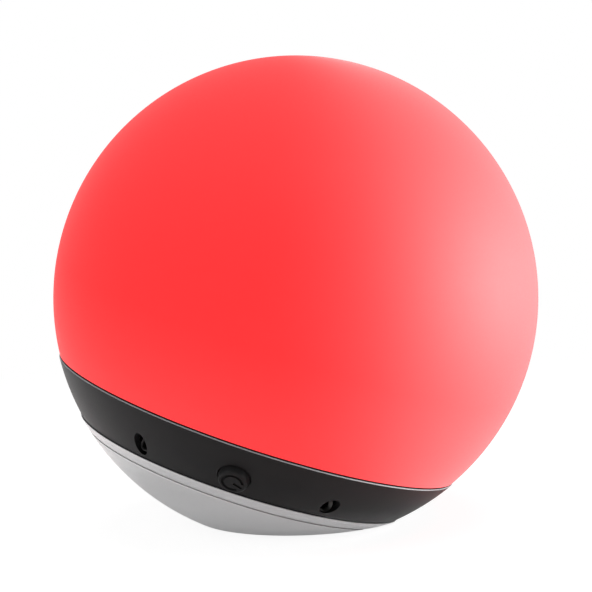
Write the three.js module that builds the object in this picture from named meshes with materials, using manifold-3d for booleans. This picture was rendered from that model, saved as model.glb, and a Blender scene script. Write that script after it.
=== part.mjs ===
// A leaning ball lamp with a loudspeaker in its base, in millimetres, +Z up.
// The globe, the control band and the bowl are turned shapes about one axis that leans towards +X.
// A level underside is cut through them. The controls face -Y.
import * as THREE from 'three';
import { mergeVertices } from 'three/addons/utils/BufferGeometryUtils.js';
import Module from 'manifold-3d';

const wasm = await Module();
wasm.setup();

// ---------- Driving dimensions ----------
const lean = 20.2;              // degrees between the turning axis and the vertical
const fit = 0.3;                // gap between pieces that seat on each other
const ballFacets = 40;          // facets round the globe, the band and the bowl
const roundFacets = 20;         // facets round the loudspeaker's parts
const screwFacets = 8;
const smallFacets = 10;         // facets round bosses, pins and small bores
const ballArcStep = 9;          // degrees between outline points on the globe and the bowl
const bandArcStep = 5.5;
const innerArcStep = 15;
const coarseCurve = 4;          // steps in the curves of flat shapes
const fineCurve = 12;
const overrun = 1;              // cutting shapes run this far past the faces they cut

// Light globe
const globeRadius = 90;
const globeWall = 2.2;
const globeRimLatitude = -30.74; // degrees on the globe, below the middle plane of the axis
const globeLipThickness = 2.2;  // the inward lip at the rim
const spigotWall = 2.1;
const spigotLength = 3.85;
const sealThickness = 0.8;
const sealSideGap = 0.1;

// Control band
const bandFullness = 0.4;       // the band's surface stands this far outside the globe's
const bandWall = 2.6;
const bandSeam = 0.35;          // open line between globe and band
const bandBottomLatitude = -45.89; // degrees on the band's sphere
const bandEdgeBreak = 0.45;
const bandRimLand = 4.3;        // width of the band's top edge outside the spigot groove
const ledgeWidth = 4.6;
const portLatitude = -41.33;    // degrees on the band's sphere
const portSpread = 30.65;       // degrees each side of the front
const portBoreRadius = 3.3;     // round opening in front of the audio socket
const inletHalfWidth = 2.75;    // oval opening in front of the power inlet
const inletHalfHeight = 3.85;
const portFaceDepth = 3.3;      // sockets lie this far below the surface

// Bowl
const bowlStep = 0.5;           // the bowl's surface stands this far outside the band's
const bowlWall = 2.8;
const bowlEdgeBreak = 0.3;
const bossRoot = 0.25;          // bosses and posts reach this far into the bowl's wall
const grooveBelowRim = 3.55;    // along the axis, from the bowl's rim to the groove's middle
const grooveWidth = 0.9;
const grooveDepth = 0.8;
const flatDepth = 65.06;        // degrees: how far down the band's sphere the level underside cuts
const floorThickness = 2.4;
const lipWall = 1.7;            // locating lip that stands up inside the band
const lipRise = 2.1;
const lipGap = 0.5;
const lipRoot = 1.8;

// Band-to-bowl screws
const lugAngles = [40, 140, 220, 320];
const lugInset = 12.3;          // from the band's inner wall to the screws
const lugRadius = 4;
const lugThickness = 2;
const lugRise = 5.75;           // top of the lugs above the band's lower edge
const jointBossRadius = 3.4;
const screwClearance = 0.4;     // round a screw's shank, in lugs, bosses and boards

// Screws
const screwShankRadius = 1.1;
const screwHeadRadius = 2.2;
const screwHeadHeight = 1.2;
const screwHeadTaper = 0.85;    // width of a head's top to its underside
const jointScrewLength = 6.5;
const deckScrewLength = 5.5;
const speakerScrewLength = 4.2;
const boardScrewLength = 4.4;
const strapScrewLength = 5;
const pilotExtra = 0.6;         // a pilot hole goes this much deeper than its screw

// Light deck and its lamps
const deckThickness = 1.8;
const deckRimClearance = 0.3;   // to the globe's spigot
const deckFlatWidth = 9.4;      // flat rim that takes the screws
const deckRise = 9.1;
const deckSlopeWidth = 11.5;
const deckBossAngles = [90, 210, 330];
const deckBossRadius = 3.5;
const deckBossHeight = 6.3;
const deckBossInset = 3;        // from the ledge's inner edge to the screws
const deckCableHoleRadius = 5;
const ledBoardRadius = 34;
const ledBoardThickness = 1.6;
const ledCount = 8;
const ledCircleRadius = 25;
const ledSide = 5;
const ledHeight = 1.6;

// Power button and its switch, along the surface normal at the button
const buttonLatitude = -40.35;  // degrees on the band's sphere
const buttonFootRadius = 5.65;
const buttonTopRadius = 5.2;
const buttonProud = 2.4;
const buttonEdgeRound = 0.75;
const buttonEdgeSteps = 3;
const buttonHoleClearance = 0.35;
const buttonFlangeRadius = 6.5;
const buttonPocketGap = 0.6;    // round the flange, inside the band
const buttonFlangeThickness = 0.8;
const buttonStemRadius = 1.6;
const buttonStemLength = 0.5;
const switchSide = 5.2;
const switchHeight = 1.9;
const plungerRadius = 1.5;
const plungerStand = 0.8;       // out of the switch body at rest
const plungerDepth = 1.0;       // inside the switch body
const plungerRoom = 0.5;        // under the plunger, for its travel
const switchBoardThickness = 1;
const switchBoardLength = 23;
const switchBoardAbove = 2.7;   // from the button's axis to the board's upper edge
const switchBoardBelow = 5.8;
const switchPostSpread = 9.9;
const switchPostBelow = 1.5;
const switchPostRadius = 1.9;
const switchScrewLength = 3.2;
const switchScrewShank = 0.7;
const switchScrewHead = 1.4;

// Sockets
const jackWidth = 7;
const jackHeight = 6.2;
const jackLength = 12;
const jackSetback = 1;          // from the band's inside to the socket housings
const auxNoseRadius = 2.95;
const auxBoreRadius = 1.8;
const auxBoreDepth = 11;
const dcNoseRadius = 2.4;
const dcBoreRadius = 1.8;
const dcBoreDepth = 7;
const dcPinRadius = 0.65;
const dcPinLength = 6.2;

// Main board
const boardThickness = 1.6;
const boardHalfAngle = 35;      // degrees each side of the front
const boardBehindJacks = 12.1;  // from the sockets' inner ends to the board's straight inner edge
const boardEdgeGap = 0.5;       // to the bowl's lip
const boardPostRadius = 3;
const boardPostInset = 4.5;     // from the board's two inner corners, both ways
const chipInset = 3.5;          // from the board's inner edge
const chipSpacing = 4;
const moduleSize = [14, 10, 2.2];
const amplifierSize = [8, 8, 1.4];
const capacitorRadius = 3.2;
const capacitorHeight = 7;

// Battery
const cellRadius = 9.1;
const cellLength = 50;
const cellBelowLedge = 5.8;     // cell axis below the band's ledge
const cellWallGap = 3;          // from the cell's nearest corner to the bowl's inside
const cellClearance = 0.5;
const saddleInset = 8;          // from the cell's ends
const saddleThickness = 2.4;
const saddleSideWall = 2.2;
const strapThickness = 1.5;
const strapWidth = 10;
const strapFootLength = 7.5;
const strapPostRadius = 3;

// Loudspeaker, on an upright axis
const speakerOffset = -4;       // along X from the ball's centre
const seatRise = 2;             // seat above the bowl's floor
const seatRingWidth = 3.4;
const soundHoleRadius = 19.5;
const gasketThickness = 0.8;
const gasketInner = 20.8;
const gasketOuter = 23;
const frameSide = 46;
const frameCornerRadius = 4;
const framePlate = 1.5;
const frameOpening = 20.6;
const frameRingWall = 1.8;
const frameRingHeight = 4.2;
const basketHeight = 9.5;
const basketHaunch = 0.4;       // extra thickness inside, at the foot of the slope
const basketTopRadius = 16.5;
const basketSkin = 1.2;
const basketTopOpening = 9.6;
const basketWindowWidth = 15;
const basketWindowMargin = 1.1;
const speakerScrewSpread = 19;
const speakerBossRadius = 3.2;
const coilInner = 6.55;
const coilOuter = 7.05;
const coilLength = 7.5;
const coilStart = 5.5;
const poleGap = 0.35;
const plateGap = 0.4;
const topPlateRadius = 15;
const topPlateThickness = 2.2;
const magnetRadius = 16;
const magnetInner = 9;
const magnetHeight = 5;
const backPlateRadius = 15.5;
const backPlateThickness = 2;
const poleShortfall = 0.4;      // pole end behind the top plate's lower face
const coneRadius = 16.8;
const coneNeckHeight = 6;
const coneFrontHeight = 1.4;
const coneThickness = 0.5;
const coneEdgeWidth = 0.6;      // flat at the cone's rim and neck
const dustCapRadius = 8;
const dustCapBulge = 1.8;
const dustCapThickness = 0.4;
const surroundThickness = 0.7;
const surroundFront = 0.8;
const surroundBend = 1.8;       // outside radius of the roll
const surroundBendSteps = 2;
const surroundTopGap = 0.1;     // below the end of the frame's straight wall
const spiderThickness = 0.5;
const spiderRadius = 14.6;
const spiderWaves = 3;
const spiderWaveHeight = 0.45;
const spiderDrop = 1.9;         // inner foot below the outer foot

// Grille and feet, on the loudspeaker's axis
const grilleRadius = 24;
const grilleClearance = 0.3;
const grilleThickness = 0.8;
const grilleRecess = 1.4;
const grilleHoleRadius = 1.8;
const grillePitch = 5.2;
const grilleRings = 3;
const padInner = 26.4;
const padOuter = 30.4;
const padSpan = 50;             // degrees
const padProud = 1;
const padPocket = 1;
const padThickness = 1.7;
const padSideGap = 0.3;

// ---------- Sizes worked out from the driving dimensions ----------
const rad = THREE.MathUtils.degToRad;
const widthAt = (radius, drop) => Math.sqrt(radius ** 2 - drop ** 2);
const latitudeAt = (radius, drop) => THREE.MathUtils.radToDeg(Math.asin(-drop / radius));
const dropAt = (radius, latitude) => -radius * Math.sin(rad(latitude));

const globeInner = globeRadius - globeWall;
const globeRimDrop = dropAt(globeRadius, globeRimLatitude);
const bandRadius = globeRadius + bandFullness;
const bandInner = bandRadius - bandWall;
const bandTopDrop = globeRimDrop + bandSeam;
const bandBottomDrop = dropAt(bandRadius, bandBottomLatitude);
const portDrop = dropAt(bandRadius, portLatitude);
const flatDrop = dropAt(bandRadius, -flatDepth);
const grooveRadius = widthAt(bandRadius, bandTopDrop) - bandRimLand;
const spigotOuter = grooveRadius - fit;
const spigotInner = spigotOuter - spigotWall;
const spigotEndDrop = globeRimDrop + spigotLength;
const ledgeDrop = spigotEndDrop + fit + sealThickness + fit;
const ledgeInner = grooveRadius - ledgeWidth;

const bowlRadius = bandRadius + bowlStep;
const bowlInner = bowlRadius - bowlWall;
const bowlRimDrop = bandBottomDrop + fit;
const lipOuter = widthAt(bandInner, bandBottomDrop) - lipGap;
const lipInner = lipOuter - lipWall;
const floorTop = -flatDrop + floorThickness;
const ballCentreHeight = flatDrop + padProud;

const deckBottomDrop = ledgeDrop - fit;
const deckTopDrop = deckBottomDrop - deckThickness;
const deckRadius = spigotInner - deckRimClearance;
const deckFlatInner = deckRadius - deckFlatWidth;
const deckPlateauRadius = deckFlatInner - deckSlopeWidth;
const deckPlateauDrop = deckTopDrop - deckRise;
const ledBoardBottomDrop = deckPlateauDrop - fit;
const ledBoardTopDrop = ledBoardBottomDrop - ledBoardThickness;

const jackFaceReach = widthAt(bandRadius, portDrop) - portFaceDepth;
const jackBodyReach = widthAt(bandInner, portDrop + jackHeight / 2) - jackSetback;
const boardInnerEdge = (jackBodyReach - jackLength) * Math.cos(rad(portSpread)) - boardBehindJacks;
const boardTopDrop = portDrop + jackHeight / 2 + fit;
const boardBottomDrop = boardTopDrop + boardThickness;
const boardRadius = lipInner - boardEdgeGap;
const boardHalfWidth = boardRadius * Math.sin(rad(boardHalfAngle));

const lugDrop = bandBottomDrop - lugRise;
const lugBottomDrop = lugDrop + lugThickness;
const lugReach = widthAt(bandInner, lugDrop) - lugInset;
const deckBossReach = ledgeInner - deckBossInset;
const seatHeight = floorTop + seatRise;
const cellDrop = ledgeDrop + cellBelowLedge;
const cellBallRadius = widthAt(bowlInner - cellWallGap, cellLength / 2) - cellRadius;
const cellReach = widthAt(cellBallRadius, cellDrop);
const saddleSpread = cellLength / 2 - saddleInset;
const frameFront = seatHeight + fit + gasketThickness + fit;

// ---------- Shape helpers ----------
const point = (x, y) => new THREE.Vector2(x, y);

function onSphere(radius, latitude) {
  return point(radius * Math.cos(rad(latitude)), radius * Math.sin(rad(latitude)));
}

// Points on a sphere's outline through the given latitudes, with steps no longer than stepAngle
function sphereArc(radius, latitudes, stepAngle) {
  const points = [onSphere(radius, latitudes[0])];
  for (let i = 1; i < latitudes.length; i += 1) {
    const from = latitudes[i - 1];
    const span = latitudes[i] - from;
    const steps = Math.max(1, Math.ceil(Math.abs(span) / stepAngle));
    for (let k = 1; k <= steps; k += 1) points.push(onSphere(radius, from + (span * k) / steps));
  }
  return points;
}

// A solid of revolution about Z from a half outline of (radius, height) points
function revolve(outline, facets) {
  const first = outline[0];
  const last = outline[outline.length - 1];
  const onAxis = first.x < 1e-6 && last.x < 1e-6;
  let points = onAxis ? outline : [...outline, first.clone()];
  if (THREE.ShapeUtils.area(points) < 0) points = [...points].reverse();
  return new THREE.LatheGeometry(points, facets).rotateX(Math.PI / 2);
}

function ring(inner, outer, bottom, top, facets) {
  return revolve([point(outer, bottom), point(outer, top), point(inner, top), point(inner, bottom)], facets);
}

function disc(radius, bottom, top, facets) {
  return revolve([point(0, bottom), point(radius, bottom), point(radius, top), point(0, top)], facets);
}

function block(x, y, z, sizeX, sizeY, sizeZ) {
  return new THREE.BoxGeometry(sizeX, sizeY, sizeZ).translate(x, y, z);
}

// A flat plate from a closed shape in X and Y
function plate(shape, bottom, thickness, curveSegments) {
  const settings = { depth: thickness, bevelEnabled: false, curveSegments };
  return new THREE.ExtrudeGeometry(shape, settings).translate(0, 0, bottom);
}

function toSolid(geometry) {
  const bare = geometry.clone();
  bare.deleteAttribute('normal');
  bare.deleteAttribute('uv');
  const merged = mergeVertices(bare, 1e-4);
  const index = merged.index.array;
  const triangles = [];
  for (let i = 0; i < index.length; i += 3) {
    const [a, b, c] = [index[i], index[i + 1], index[i + 2]];
    if (a !== b && b !== c && c !== a) triangles.push(a, b, c);
  }
  return new wasm.Manifold(new wasm.Mesh({
    numProp: 3,
    vertProperties: new Float32Array(merged.attributes.position.array),
    triVerts: new Uint32Array(triangles),
  }));
}

function toGeometry(solid) {
  const mesh = solid.getMesh();
  const geometry = new THREE.BufferGeometry();
  geometry.setAttribute('position', new THREE.BufferAttribute(new Float32Array(mesh.vertProperties), 3));
  geometry.setIndex(new THREE.BufferAttribute(new Uint32Array(mesh.triVerts), 1));
  geometry.computeVertexNormals();
  return geometry;
}

const join = (solid, tools) => tools.reduce((whole, tool) => whole.add(toSolid(tool)), solid);
const cut = (solid, tools) => tools.reduce((whole, tool) => whole.subtract(toSolid(tool)), solid);

// Turns a shape about the leaning axis, and places one made about the button's or a port's axis
const turned = (geometry, degrees) => geometry.rotateZ(rad(degrees));
const atAngle = (geometry, reach, degrees, height) => geometry
  .translate(reach, 0, height)
  .rotateZ(rad(degrees));

// From the level frame at the ball's centre into the leaning frame
const levelToLeaning = new THREE.Matrix4().makeRotationY(-rad(lean));
const levelled = (geometry) => geometry.applyMatrix4(levelToLeaning);

// The button's own frame: +Z out of the surface, +X along the band, origin on the surface
const buttonOut = new THREE.Vector3(0, -Math.cos(rad(buttonLatitude)), Math.sin(rad(buttonLatitude)));
const buttonAcross = new THREE.Vector3(1, 0, 0);
const buttonUp = new THREE.Vector3().crossVectors(buttonOut, buttonAcross);
const buttonFrame = new THREE.Matrix4()
  .makeBasis(buttonAcross, buttonUp, buttonOut)
  .setPosition(buttonOut.clone().multiplyScalar(bandRadius));
const atButton = (geometry) => geometry.applyMatrix4(buttonFrame);

// A port's own frame: +Z outwards along the bore, +Y along the leaning axis
function atPort(geometry, side) {
  const angle = -90 + side * portSpread;
  return geometry
    .rotateY(Math.PI / 2)
    .rotateZ(rad(angle))
    .translate(0, 0, -portDrop);
}
const inletSide = -1;
const audioSide = 1;

// ---------- Materials ----------
const material = (color, roughness, metalness) => new THREE.MeshStandardMaterial({
  color,
  roughness,
  metalness,
});
const diffuserRed = () => material(0xff3b3e, 0.35, 0);
const satinBlack = () => material(0x1c1c1d, 0.45, 0);
const satinSilver = () => material(0xb9babb, 0.35, 0.8);
const softBlack = () => material(0x141414, 0.8, 0);
const whitePlastic = () => material(0xf2f2ee, 0.5, 0);
const boardGreen = () => material(0x1f5a36, 0.6, 0);
const nickel = () => material(0xc9c9c6, 0.25, 1);
const screwSteel = () => material(0x8c8d90, 0.35, 1);
const darkSteel = () => material(0x55575a, 0.4, 1);
const ferrite = () => material(0x2a2a2c, 0.7, 0.2);
const ledWhite = () => material(0xfff2c8, 0.4, 0);
const copper = () => material(0xa8602f, 0.4, 0.9);
const paperBlack = () => material(0x202022, 0.9, 0);
const cellBlue = () => material(0x2f6fb4, 0.5, 0);

// ---------- The assembly ----------
const speaker = new THREE.Group();
const leaning = new THREE.Group();
leaning.rotation.y = rad(lean);
leaning.position.z = ballCentreHeight;
const level = new THREE.Group();
level.position.z = ballCentreHeight;
speaker.add(leaning, level);

function addPiece(group, name, geometry, look) {
  const mesh = new THREE.Mesh(geometry, look);
  mesh.name = name;
  group.add(mesh);
  return mesh;
}

// Pan-head screw: its head sits on height 0 of its own frame and the shank hangs below
function screwShape(length, shankRadius = screwShankRadius, headRadius = screwHeadRadius) {
  return revolve([
    point(0, -length),
    point(shankRadius, -length),
    point(shankRadius, 0),
    point(headRadius, 0),
    point(headRadius * screwHeadTaper, screwHeadHeight),
    point(0, screwHeadHeight),
  ], screwFacets);
}

const pilot = (length, shankRadius = screwShankRadius) => disc(
  shankRadius + screwClearance,
  -length - pilotExtra,
  screwHeadHeight,
  screwFacets,
);

// ---------- Light globe ----------
// Its outline passes through the latitudes where the leaning ball is widest along X, Y and Z.
function globeShape() {
  const rimLatitude = latitudeAt(globeRadius, globeRimDrop);
  const lipDrop = globeRimDrop - globeLipThickness;
  const outside = sphereArc(globeRadius, [90, 90 - lean, lean, 0, -lean, rimLatitude], ballArcStep);
  const inside = sphereArc(globeInner, [latitudeAt(globeInner, lipDrop), 90], innerArcStep);
  return revolve([
    ...outside,
    point(spigotOuter, -globeRimDrop),
    point(spigotOuter, -spigotEndDrop),
    point(spigotInner, -spigotEndDrop),
    point(spigotInner, -lipDrop),
    ...inside,
  ], ballFacets);
}
addPiece(leaning, 'globe', globeShape(), diffuserRed());

// Soft ring under the spigot
const sealTop = -spigotEndDrop - fit;
addPiece(
  leaning,
  'globe_seal',
  ring(spigotInner + sealSideGap, spigotOuter - sealSideGap, sealTop - sealThickness, sealTop, ballFacets),
  softBlack(),
);

// ---------- Control band ----------
// A turned ring with a spigot groove and a ledge at the top, cut level where it meets the table.
function bandRing() {
  const outerTop = latitudeAt(bandRadius, bandTopDrop + bandEdgeBreak);
  const outerBottom = latitudeAt(bandRadius, bandBottomDrop - bandEdgeBreak);
  const innerBottom = latitudeAt(bandInner, bandBottomDrop);
  const innerTop = -THREE.MathUtils.radToDeg(Math.acos(ledgeInner / bandInner));
  return toSolid(revolve([
    point(grooveRadius, -bandTopDrop),
    point(widthAt(bandRadius, bandTopDrop) - bandEdgeBreak, -bandTopDrop),
    ...sphereArc(bandRadius, [outerTop, outerBottom], bandArcStep),
    point(widthAt(bandRadius, bandBottomDrop) - bandEdgeBreak, -bandBottomDrop),
    ...sphereArc(bandInner, [innerBottom, innerTop], bandArcStep),
    point(ledgeInner, -ledgeDrop),
    point(grooveRadius, -ledgeDrop),
  ], ballFacets));
}

// A block that takes in all of the ball above a level height
const above = (height) => levelled(block(
  0,
  0,
  height + globeRadius,
  4 * globeRadius,
  4 * globeRadius,
  2 * globeRadius,
));

// A ball that stays inside the band's wall, to trim what grows inwards from it
const insideBand = () => toSolid(revolve(
  sphereArc(bandRadius - bandWall / 2, [-90, 90], ballArcStep),
  ballFacets,
));

function lug(angle) {
  const wallReach = widthAt(bandRadius, lugDrop) - bandWall / 2;
  const length = wallReach - lugReach;
  const middle = lugReach + length / 2;
  const arm = block(middle, 0, -lugDrop - lugThickness / 2, length, 2 * lugRadius, lugThickness);
  const eye = disc(lugRadius, -lugBottomDrop, -lugDrop, smallFacets).translate(lugReach, 0, 0);
  return toSolid(turned(arm, angle)).add(toSolid(turned(eye, angle)));
}

const lugHole = (angle) => atAngle(
  disc(screwShankRadius + screwClearance, -lugBottomDrop - overrun, overrun - lugDrop, smallFacets),
  lugReach,
  angle,
  0,
);

const deckBoss = (angle) => atAngle(
  disc(deckBossRadius, -ledgeDrop - deckBossHeight, -ledgeDrop, smallFacets),
  deckBossReach,
  angle,
  0,
);

// Stack under the button, measured along its axis from the band's surface
const wallInsideAtFlange = widthAt(bandInner, buttonFlangeRadius) - bandRadius;
const flangeTop = wallInsideAtFlange - fit;
const stemEnd = flangeTop - buttonFlangeThickness - buttonStemLength;
const plungerTop = stemEnd - fit;
const switchTop = plungerTop - plungerStand;
const switchBoardTop = switchTop - switchHeight - fit;
const switchBoardBottom = switchBoardTop - switchBoardThickness;
const switchPosts = [-1, 1].map((side) => point(side * switchPostSpread, -switchPostBelow));

// Room round the button's flange and the switch board, taken out of what lies behind the wall
const flangePocket = () => atButton(disc(
  buttonFlangeRadius + buttonPocketGap,
  switchBoardTop,
  wallInsideAtFlange,
  roundFacets,
));
const switchBoardHeight = switchBoardAbove + switchBoardBelow;
const switchBoardMiddle = (switchBoardAbove - switchBoardBelow) / 2;
const switchRoom = () => atButton(block(
  0,
  switchBoardMiddle,
  switchBoardTop - switchBoardThickness / 2,
  switchBoardLength + 2 * fit,
  switchBoardHeight + 2 * fit,
  switchBoardThickness + 2 * fit,
));

const switchPost = (place) => atButton(
  disc(switchPostRadius, switchBoardTop + fit, -bandWall / 2, smallFacets).translate(place.x, place.y, 0),
);

function bandShape() {
  const growths = [
    ...lugAngles.map(lug),
    ...deckBossAngles.map((angle) => toSolid(deckBoss(angle))),
    ...switchPosts.map((place) => toSolid(switchPost(place))),
  ];
  const trimmed = growths.reduce((whole, part) => whole.add(part)).intersect(insideBand());
  const holes = [
    atPort(disc(portBoreRadius, jackBodyReach, bandRadius, roundFacets), audioSide),
    atPort(
      disc(1, jackBodyReach, bandRadius, roundFacets).scale(inletHalfHeight, inletHalfWidth, 1),
      inletSide,
    ),
    atButton(disc(buttonFootRadius + buttonHoleClearance, -bandWall * 2, bandWall, roundFacets)),
    flangePocket(),
    ...lugAngles.map(lugHole),
    ...deckBossAngles.map((angle) => (
      atAngle(pilot(deckScrewLength), deckBossReach, angle, -deckTopDrop + fit)
    )),
    ...switchPosts.map((place) => atButton(
      pilot(switchScrewLength, switchScrewShank)
        .rotateX(Math.PI)
        .translate(place.x, place.y, switchBoardBottom - fit),
    )),
  ];
  return toGeometry(cut(bandRing().add(trimmed).intersect(toSolid(above(-flatDrop))), holes));
}
addPiece(leaning, 'control_band', bandShape(), satinBlack());

// ---------- Bowl ----------
// A turned cup, cut level underneath, with a reveal groove near its rim.
function bowlCup() {
  const rim = latitudeAt(bowlRadius, bowlRimDrop + bowlEdgeBreak);
  const outside = toSolid(revolve([
    ...sphereArc(bowlRadius, [-90, rim], ballArcStep),
    point(widthAt(bowlRadius, bowlRimDrop) - bowlEdgeBreak, -bowlRimDrop),
    point(0, -bowlRimDrop),
  ], ballFacets));
  const inside = toSolid(revolve(
    [...sphereArc(bowlInner, [-90, 0], innerArcStep), point(0, 0)],
    ballFacets,
  )).intersect(toSolid(above(floorTop)));
  const lip = ring(lipInner, lipOuter, -bowlRimDrop - lipRoot, -bowlRimDrop + lipRise, ballFacets);
  return { outside, inside, lip };
}

function grooveCutter() {
  const latitude = latitudeAt(bowlRadius, bowlRimDrop + grooveBelowRim);
  const half = THREE.MathUtils.radToDeg(grooveWidth / 2 / bowlRadius);
  const bottom = bowlRadius - grooveDepth;
  const top = bowlRadius + overrun;
  return revolve([
    onSphere(bottom, latitude - half),
    onSphere(top, latitude - half),
    onSphere(top, latitude + half),
    onSphere(bottom, latitude + half),
  ], ballFacets);
}

// Bosses run down into the cup's wall, which trims them. Above the rim they clear the band.
const jointBossTop = -lugBottomDrop - fit;
const jointBoss = (angle) => atAngle(
  disc(jointBossRadius, -bowlRadius, jointBossTop, smallFacets),
  lugReach,
  angle,
  0,
);
const boardPosts = [-1, 1].map((side) => point(
  side * (boardHalfWidth - boardPostInset),
  -boardInnerEdge - boardPostInset,
));
const boardPost = (place) => disc(boardPostRadius, -bowlRadius, -boardBottomDrop - fit, smallFacets)
  .translate(place.x, place.y, 0);

// The strap crosses the cell, and its feet stand each side of it
const strapInner = cellRadius + cellClearance;
const strapOuter = strapInner + strapThickness;
const strapFootReach = strapOuter + strapFootLength / 2 - strapThickness / 2;
const strapFeet = [-1, 1].map((side) => point(0, cellReach + side * strapFootReach));
const strapPost = (place) => disc(strapPostRadius, -bowlRadius, -cellDrop - fit, smallFacets)
  .translate(place.x, place.y, 0);

// Two upright ribs with a round notch carry the cell
function saddle(side) {
  const half = cellRadius + saddleSideWall;
  const ribHeight = 2 * (flatDrop - cellDrop);
  const rib = block(side * saddleSpread, cellReach, -flatDrop, saddleThickness, 2 * half, ribHeight);
  const notch = disc(cellRadius + cellClearance, -saddleThickness, saddleThickness, roundFacets)
    .rotateY(Math.PI / 2)
    .translate(side * saddleSpread, cellReach, -cellDrop);
  return toSolid(rib).subtract(toSolid(notch));
}

const speakerCorners = [[-1, -1], [1, -1], [1, 1], [-1, 1]]
  .map(([x, y]) => point(speakerOffset + x * speakerScrewSpread, y * speakerScrewSpread));

const feetAngles = [45, 135, 225, 315];
function padShape(inner, outer, span) {
  const half = rad(span / 2);
  const shape = new THREE.Shape();
  shape.absarc(0, 0, outer, -half, half, false);
  shape.absarc(0, 0, inner, half, -half, true);
  shape.closePath();
  return shape;
}
const underBowl = (geometry, degrees = 0) => geometry
  .rotateZ(rad(degrees))
  .translate(speakerOffset, 0, 0);

function bowlShape() {
  const { outside, inside, lip } = bowlCup();
  const rooted = bowlInner + bossRoot;
  const clear = bandInner - lipGap;
  const insideWall = toSolid(revolve([
    ...sphereArc(rooted, [-90, latitudeAt(rooted, bowlRimDrop)], innerArcStep),
    ...sphereArc(clear, [latitudeAt(clear, bowlRimDrop), 90], innerArcStep),
  ], ballFacets));
  const growths = [
    ...lugAngles.map((angle) => toSolid(jointBoss(angle))),
    ...boardPosts.map((place) => toSolid(boardPost(place))),
    ...strapFeet.map((place) => toSolid(strapPost(place))),
    ...[-1, 1].map(saddle),
  ].reduce((whole, part) => whole.add(part)).intersect(insideWall);
  const seat = ring(
    soundHoleRadius,
    soundHoleRadius + seatRingWidth,
    floorTop - bossRoot,
    seatHeight,
    roundFacets,
  );
  const bosses = speakerCorners.map((place) => (
    disc(speakerBossRadius, floorTop - bossRoot, seatHeight, smallFacets).translate(place.x, place.y, 0)
  ));
  const raised = [underBowl(seat), ...bosses].map(levelled);
  const pocketSpan = padSpan + THREE.MathUtils.radToDeg((2 * padSideGap) / padInner);
  const pocket = () => plate(
    padShape(padInner - padSideGap, padOuter + padSideGap, pocketSpan),
    -flatDrop - overrun,
    padPocket + overrun,
    coarseCurve,
  );
  const cuts = [
    grooveCutter(),
    levelled(underBowl(disc(soundHoleRadius, -flatDrop - overrun, seatHeight + overrun, roundFacets))),
    levelled(underBowl(disc(
      grilleRadius + grilleClearance,
      -flatDrop - overrun,
      -flatDrop + grilleRecess,
      roundFacets,
    ))),
    ...feetAngles.map((angle) => levelled(underBowl(pocket(), angle))),
    ...speakerCorners.map((place) => levelled(pilot(speakerScrewLength)
      .translate(place.x, place.y, frameFront + framePlate + fit))),
    ...lugAngles.map((angle) => atAngle(pilot(jointScrewLength), lugReach, angle, -lugDrop + fit)),
    ...boardPosts.map((place) => pilot(boardScrewLength).translate(place.x, place.y, -boardTopDrop + fit)),
    ...strapFeet.map((place) => pilot(strapScrewLength)
      .translate(place.x, place.y, -cellDrop + strapThickness + fit)),
  ];
  const cup = outside.subtract(inside).add(toSolid(lip)).add(growths);
  const whole = join(cup.intersect(toSolid(above(-flatDrop))), raised);
  return toGeometry(cut(whole, cuts));
}
addPiece(leaning, 'base_bowl', bowlShape(), satinSilver());

lugAngles.forEach((angle, i) => {
  const screw = addPiece(leaning, `joint_screw_${i + 1}`, screwShape(jointScrewLength), screwSteel());
  screw.position.set(
    lugReach * Math.cos(rad(angle)),
    lugReach * Math.sin(rad(angle)),
    -lugDrop + fit,
  );
});

// ---------- Light deck and lamps ----------
function deckShape() {
  const slope = Math.hypot(deckSlopeWidth, deckRise);
  const sideways = (deckThickness * deckRise) / slope / 2;
  const body = toSolid(revolve([
    point(0, -deckPlateauDrop - deckThickness),
    point(deckPlateauRadius - sideways, -deckPlateauDrop - deckThickness),
    point(deckFlatInner - sideways, -deckBottomDrop),
    point(deckRadius, -deckBottomDrop),
    point(deckRadius, -deckTopDrop),
    point(deckFlatInner + sideways, -deckTopDrop),
    point(deckPlateauRadius + sideways, -deckPlateauDrop),
    point(0, -deckPlateauDrop),
  ], ballFacets));
  const screwHoles = deckBossAngles.map((angle) => atAngle(
    disc(screwShankRadius + screwClearance, -deckBottomDrop - overrun, overrun - deckTopDrop, smallFacets),
    deckBossReach,
    angle,
    0,
  ));
  const cableHole = disc(
    deckCableHoleRadius,
    -deckPlateauDrop - deckThickness - overrun,
    overrun - deckPlateauDrop,
    smallFacets,
  );
  return toGeometry(cut(body, [...screwHoles, cableHole, flangePocket(), switchRoom()]));
}
addPiece(leaning, 'light_deck', deckShape(), whitePlastic());

deckBossAngles.forEach((angle, i) => {
  const screw = addPiece(leaning, `deck_screw_${i + 1}`, screwShape(deckScrewLength), screwSteel());
  screw.position.set(
    deckBossReach * Math.cos(rad(angle)),
    deckBossReach * Math.sin(rad(angle)),
    -deckTopDrop + fit,
  );
});

addPiece(
  leaning,
  'led_board',
  ring(deckCableHoleRadius, ledBoardRadius, -ledBoardBottomDrop, -ledBoardTopDrop, roundFacets),
  whitePlastic(),
);

for (let i = 0; i < ledCount; i += 1) {
  const angle = (2 * Math.PI * i) / ledCount;
  const lamp = block(0, 0, ledHeight / 2, ledSide, ledSide, ledHeight);
  const led = addPiece(leaning, `led_${i + 1}`, lamp, ledWhite());
  led.position.set(
    ledCircleRadius * Math.cos(angle),
    ledCircleRadius * Math.sin(angle),
    -ledBoardTopDrop + fit,
  );
  led.rotation.z = angle;
}

// ---------- Power button and switch ----------
const controls = new THREE.Group();
buttonFrame.decompose(controls.position, controls.quaternion, controls.scale);
leaning.add(controls);

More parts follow.
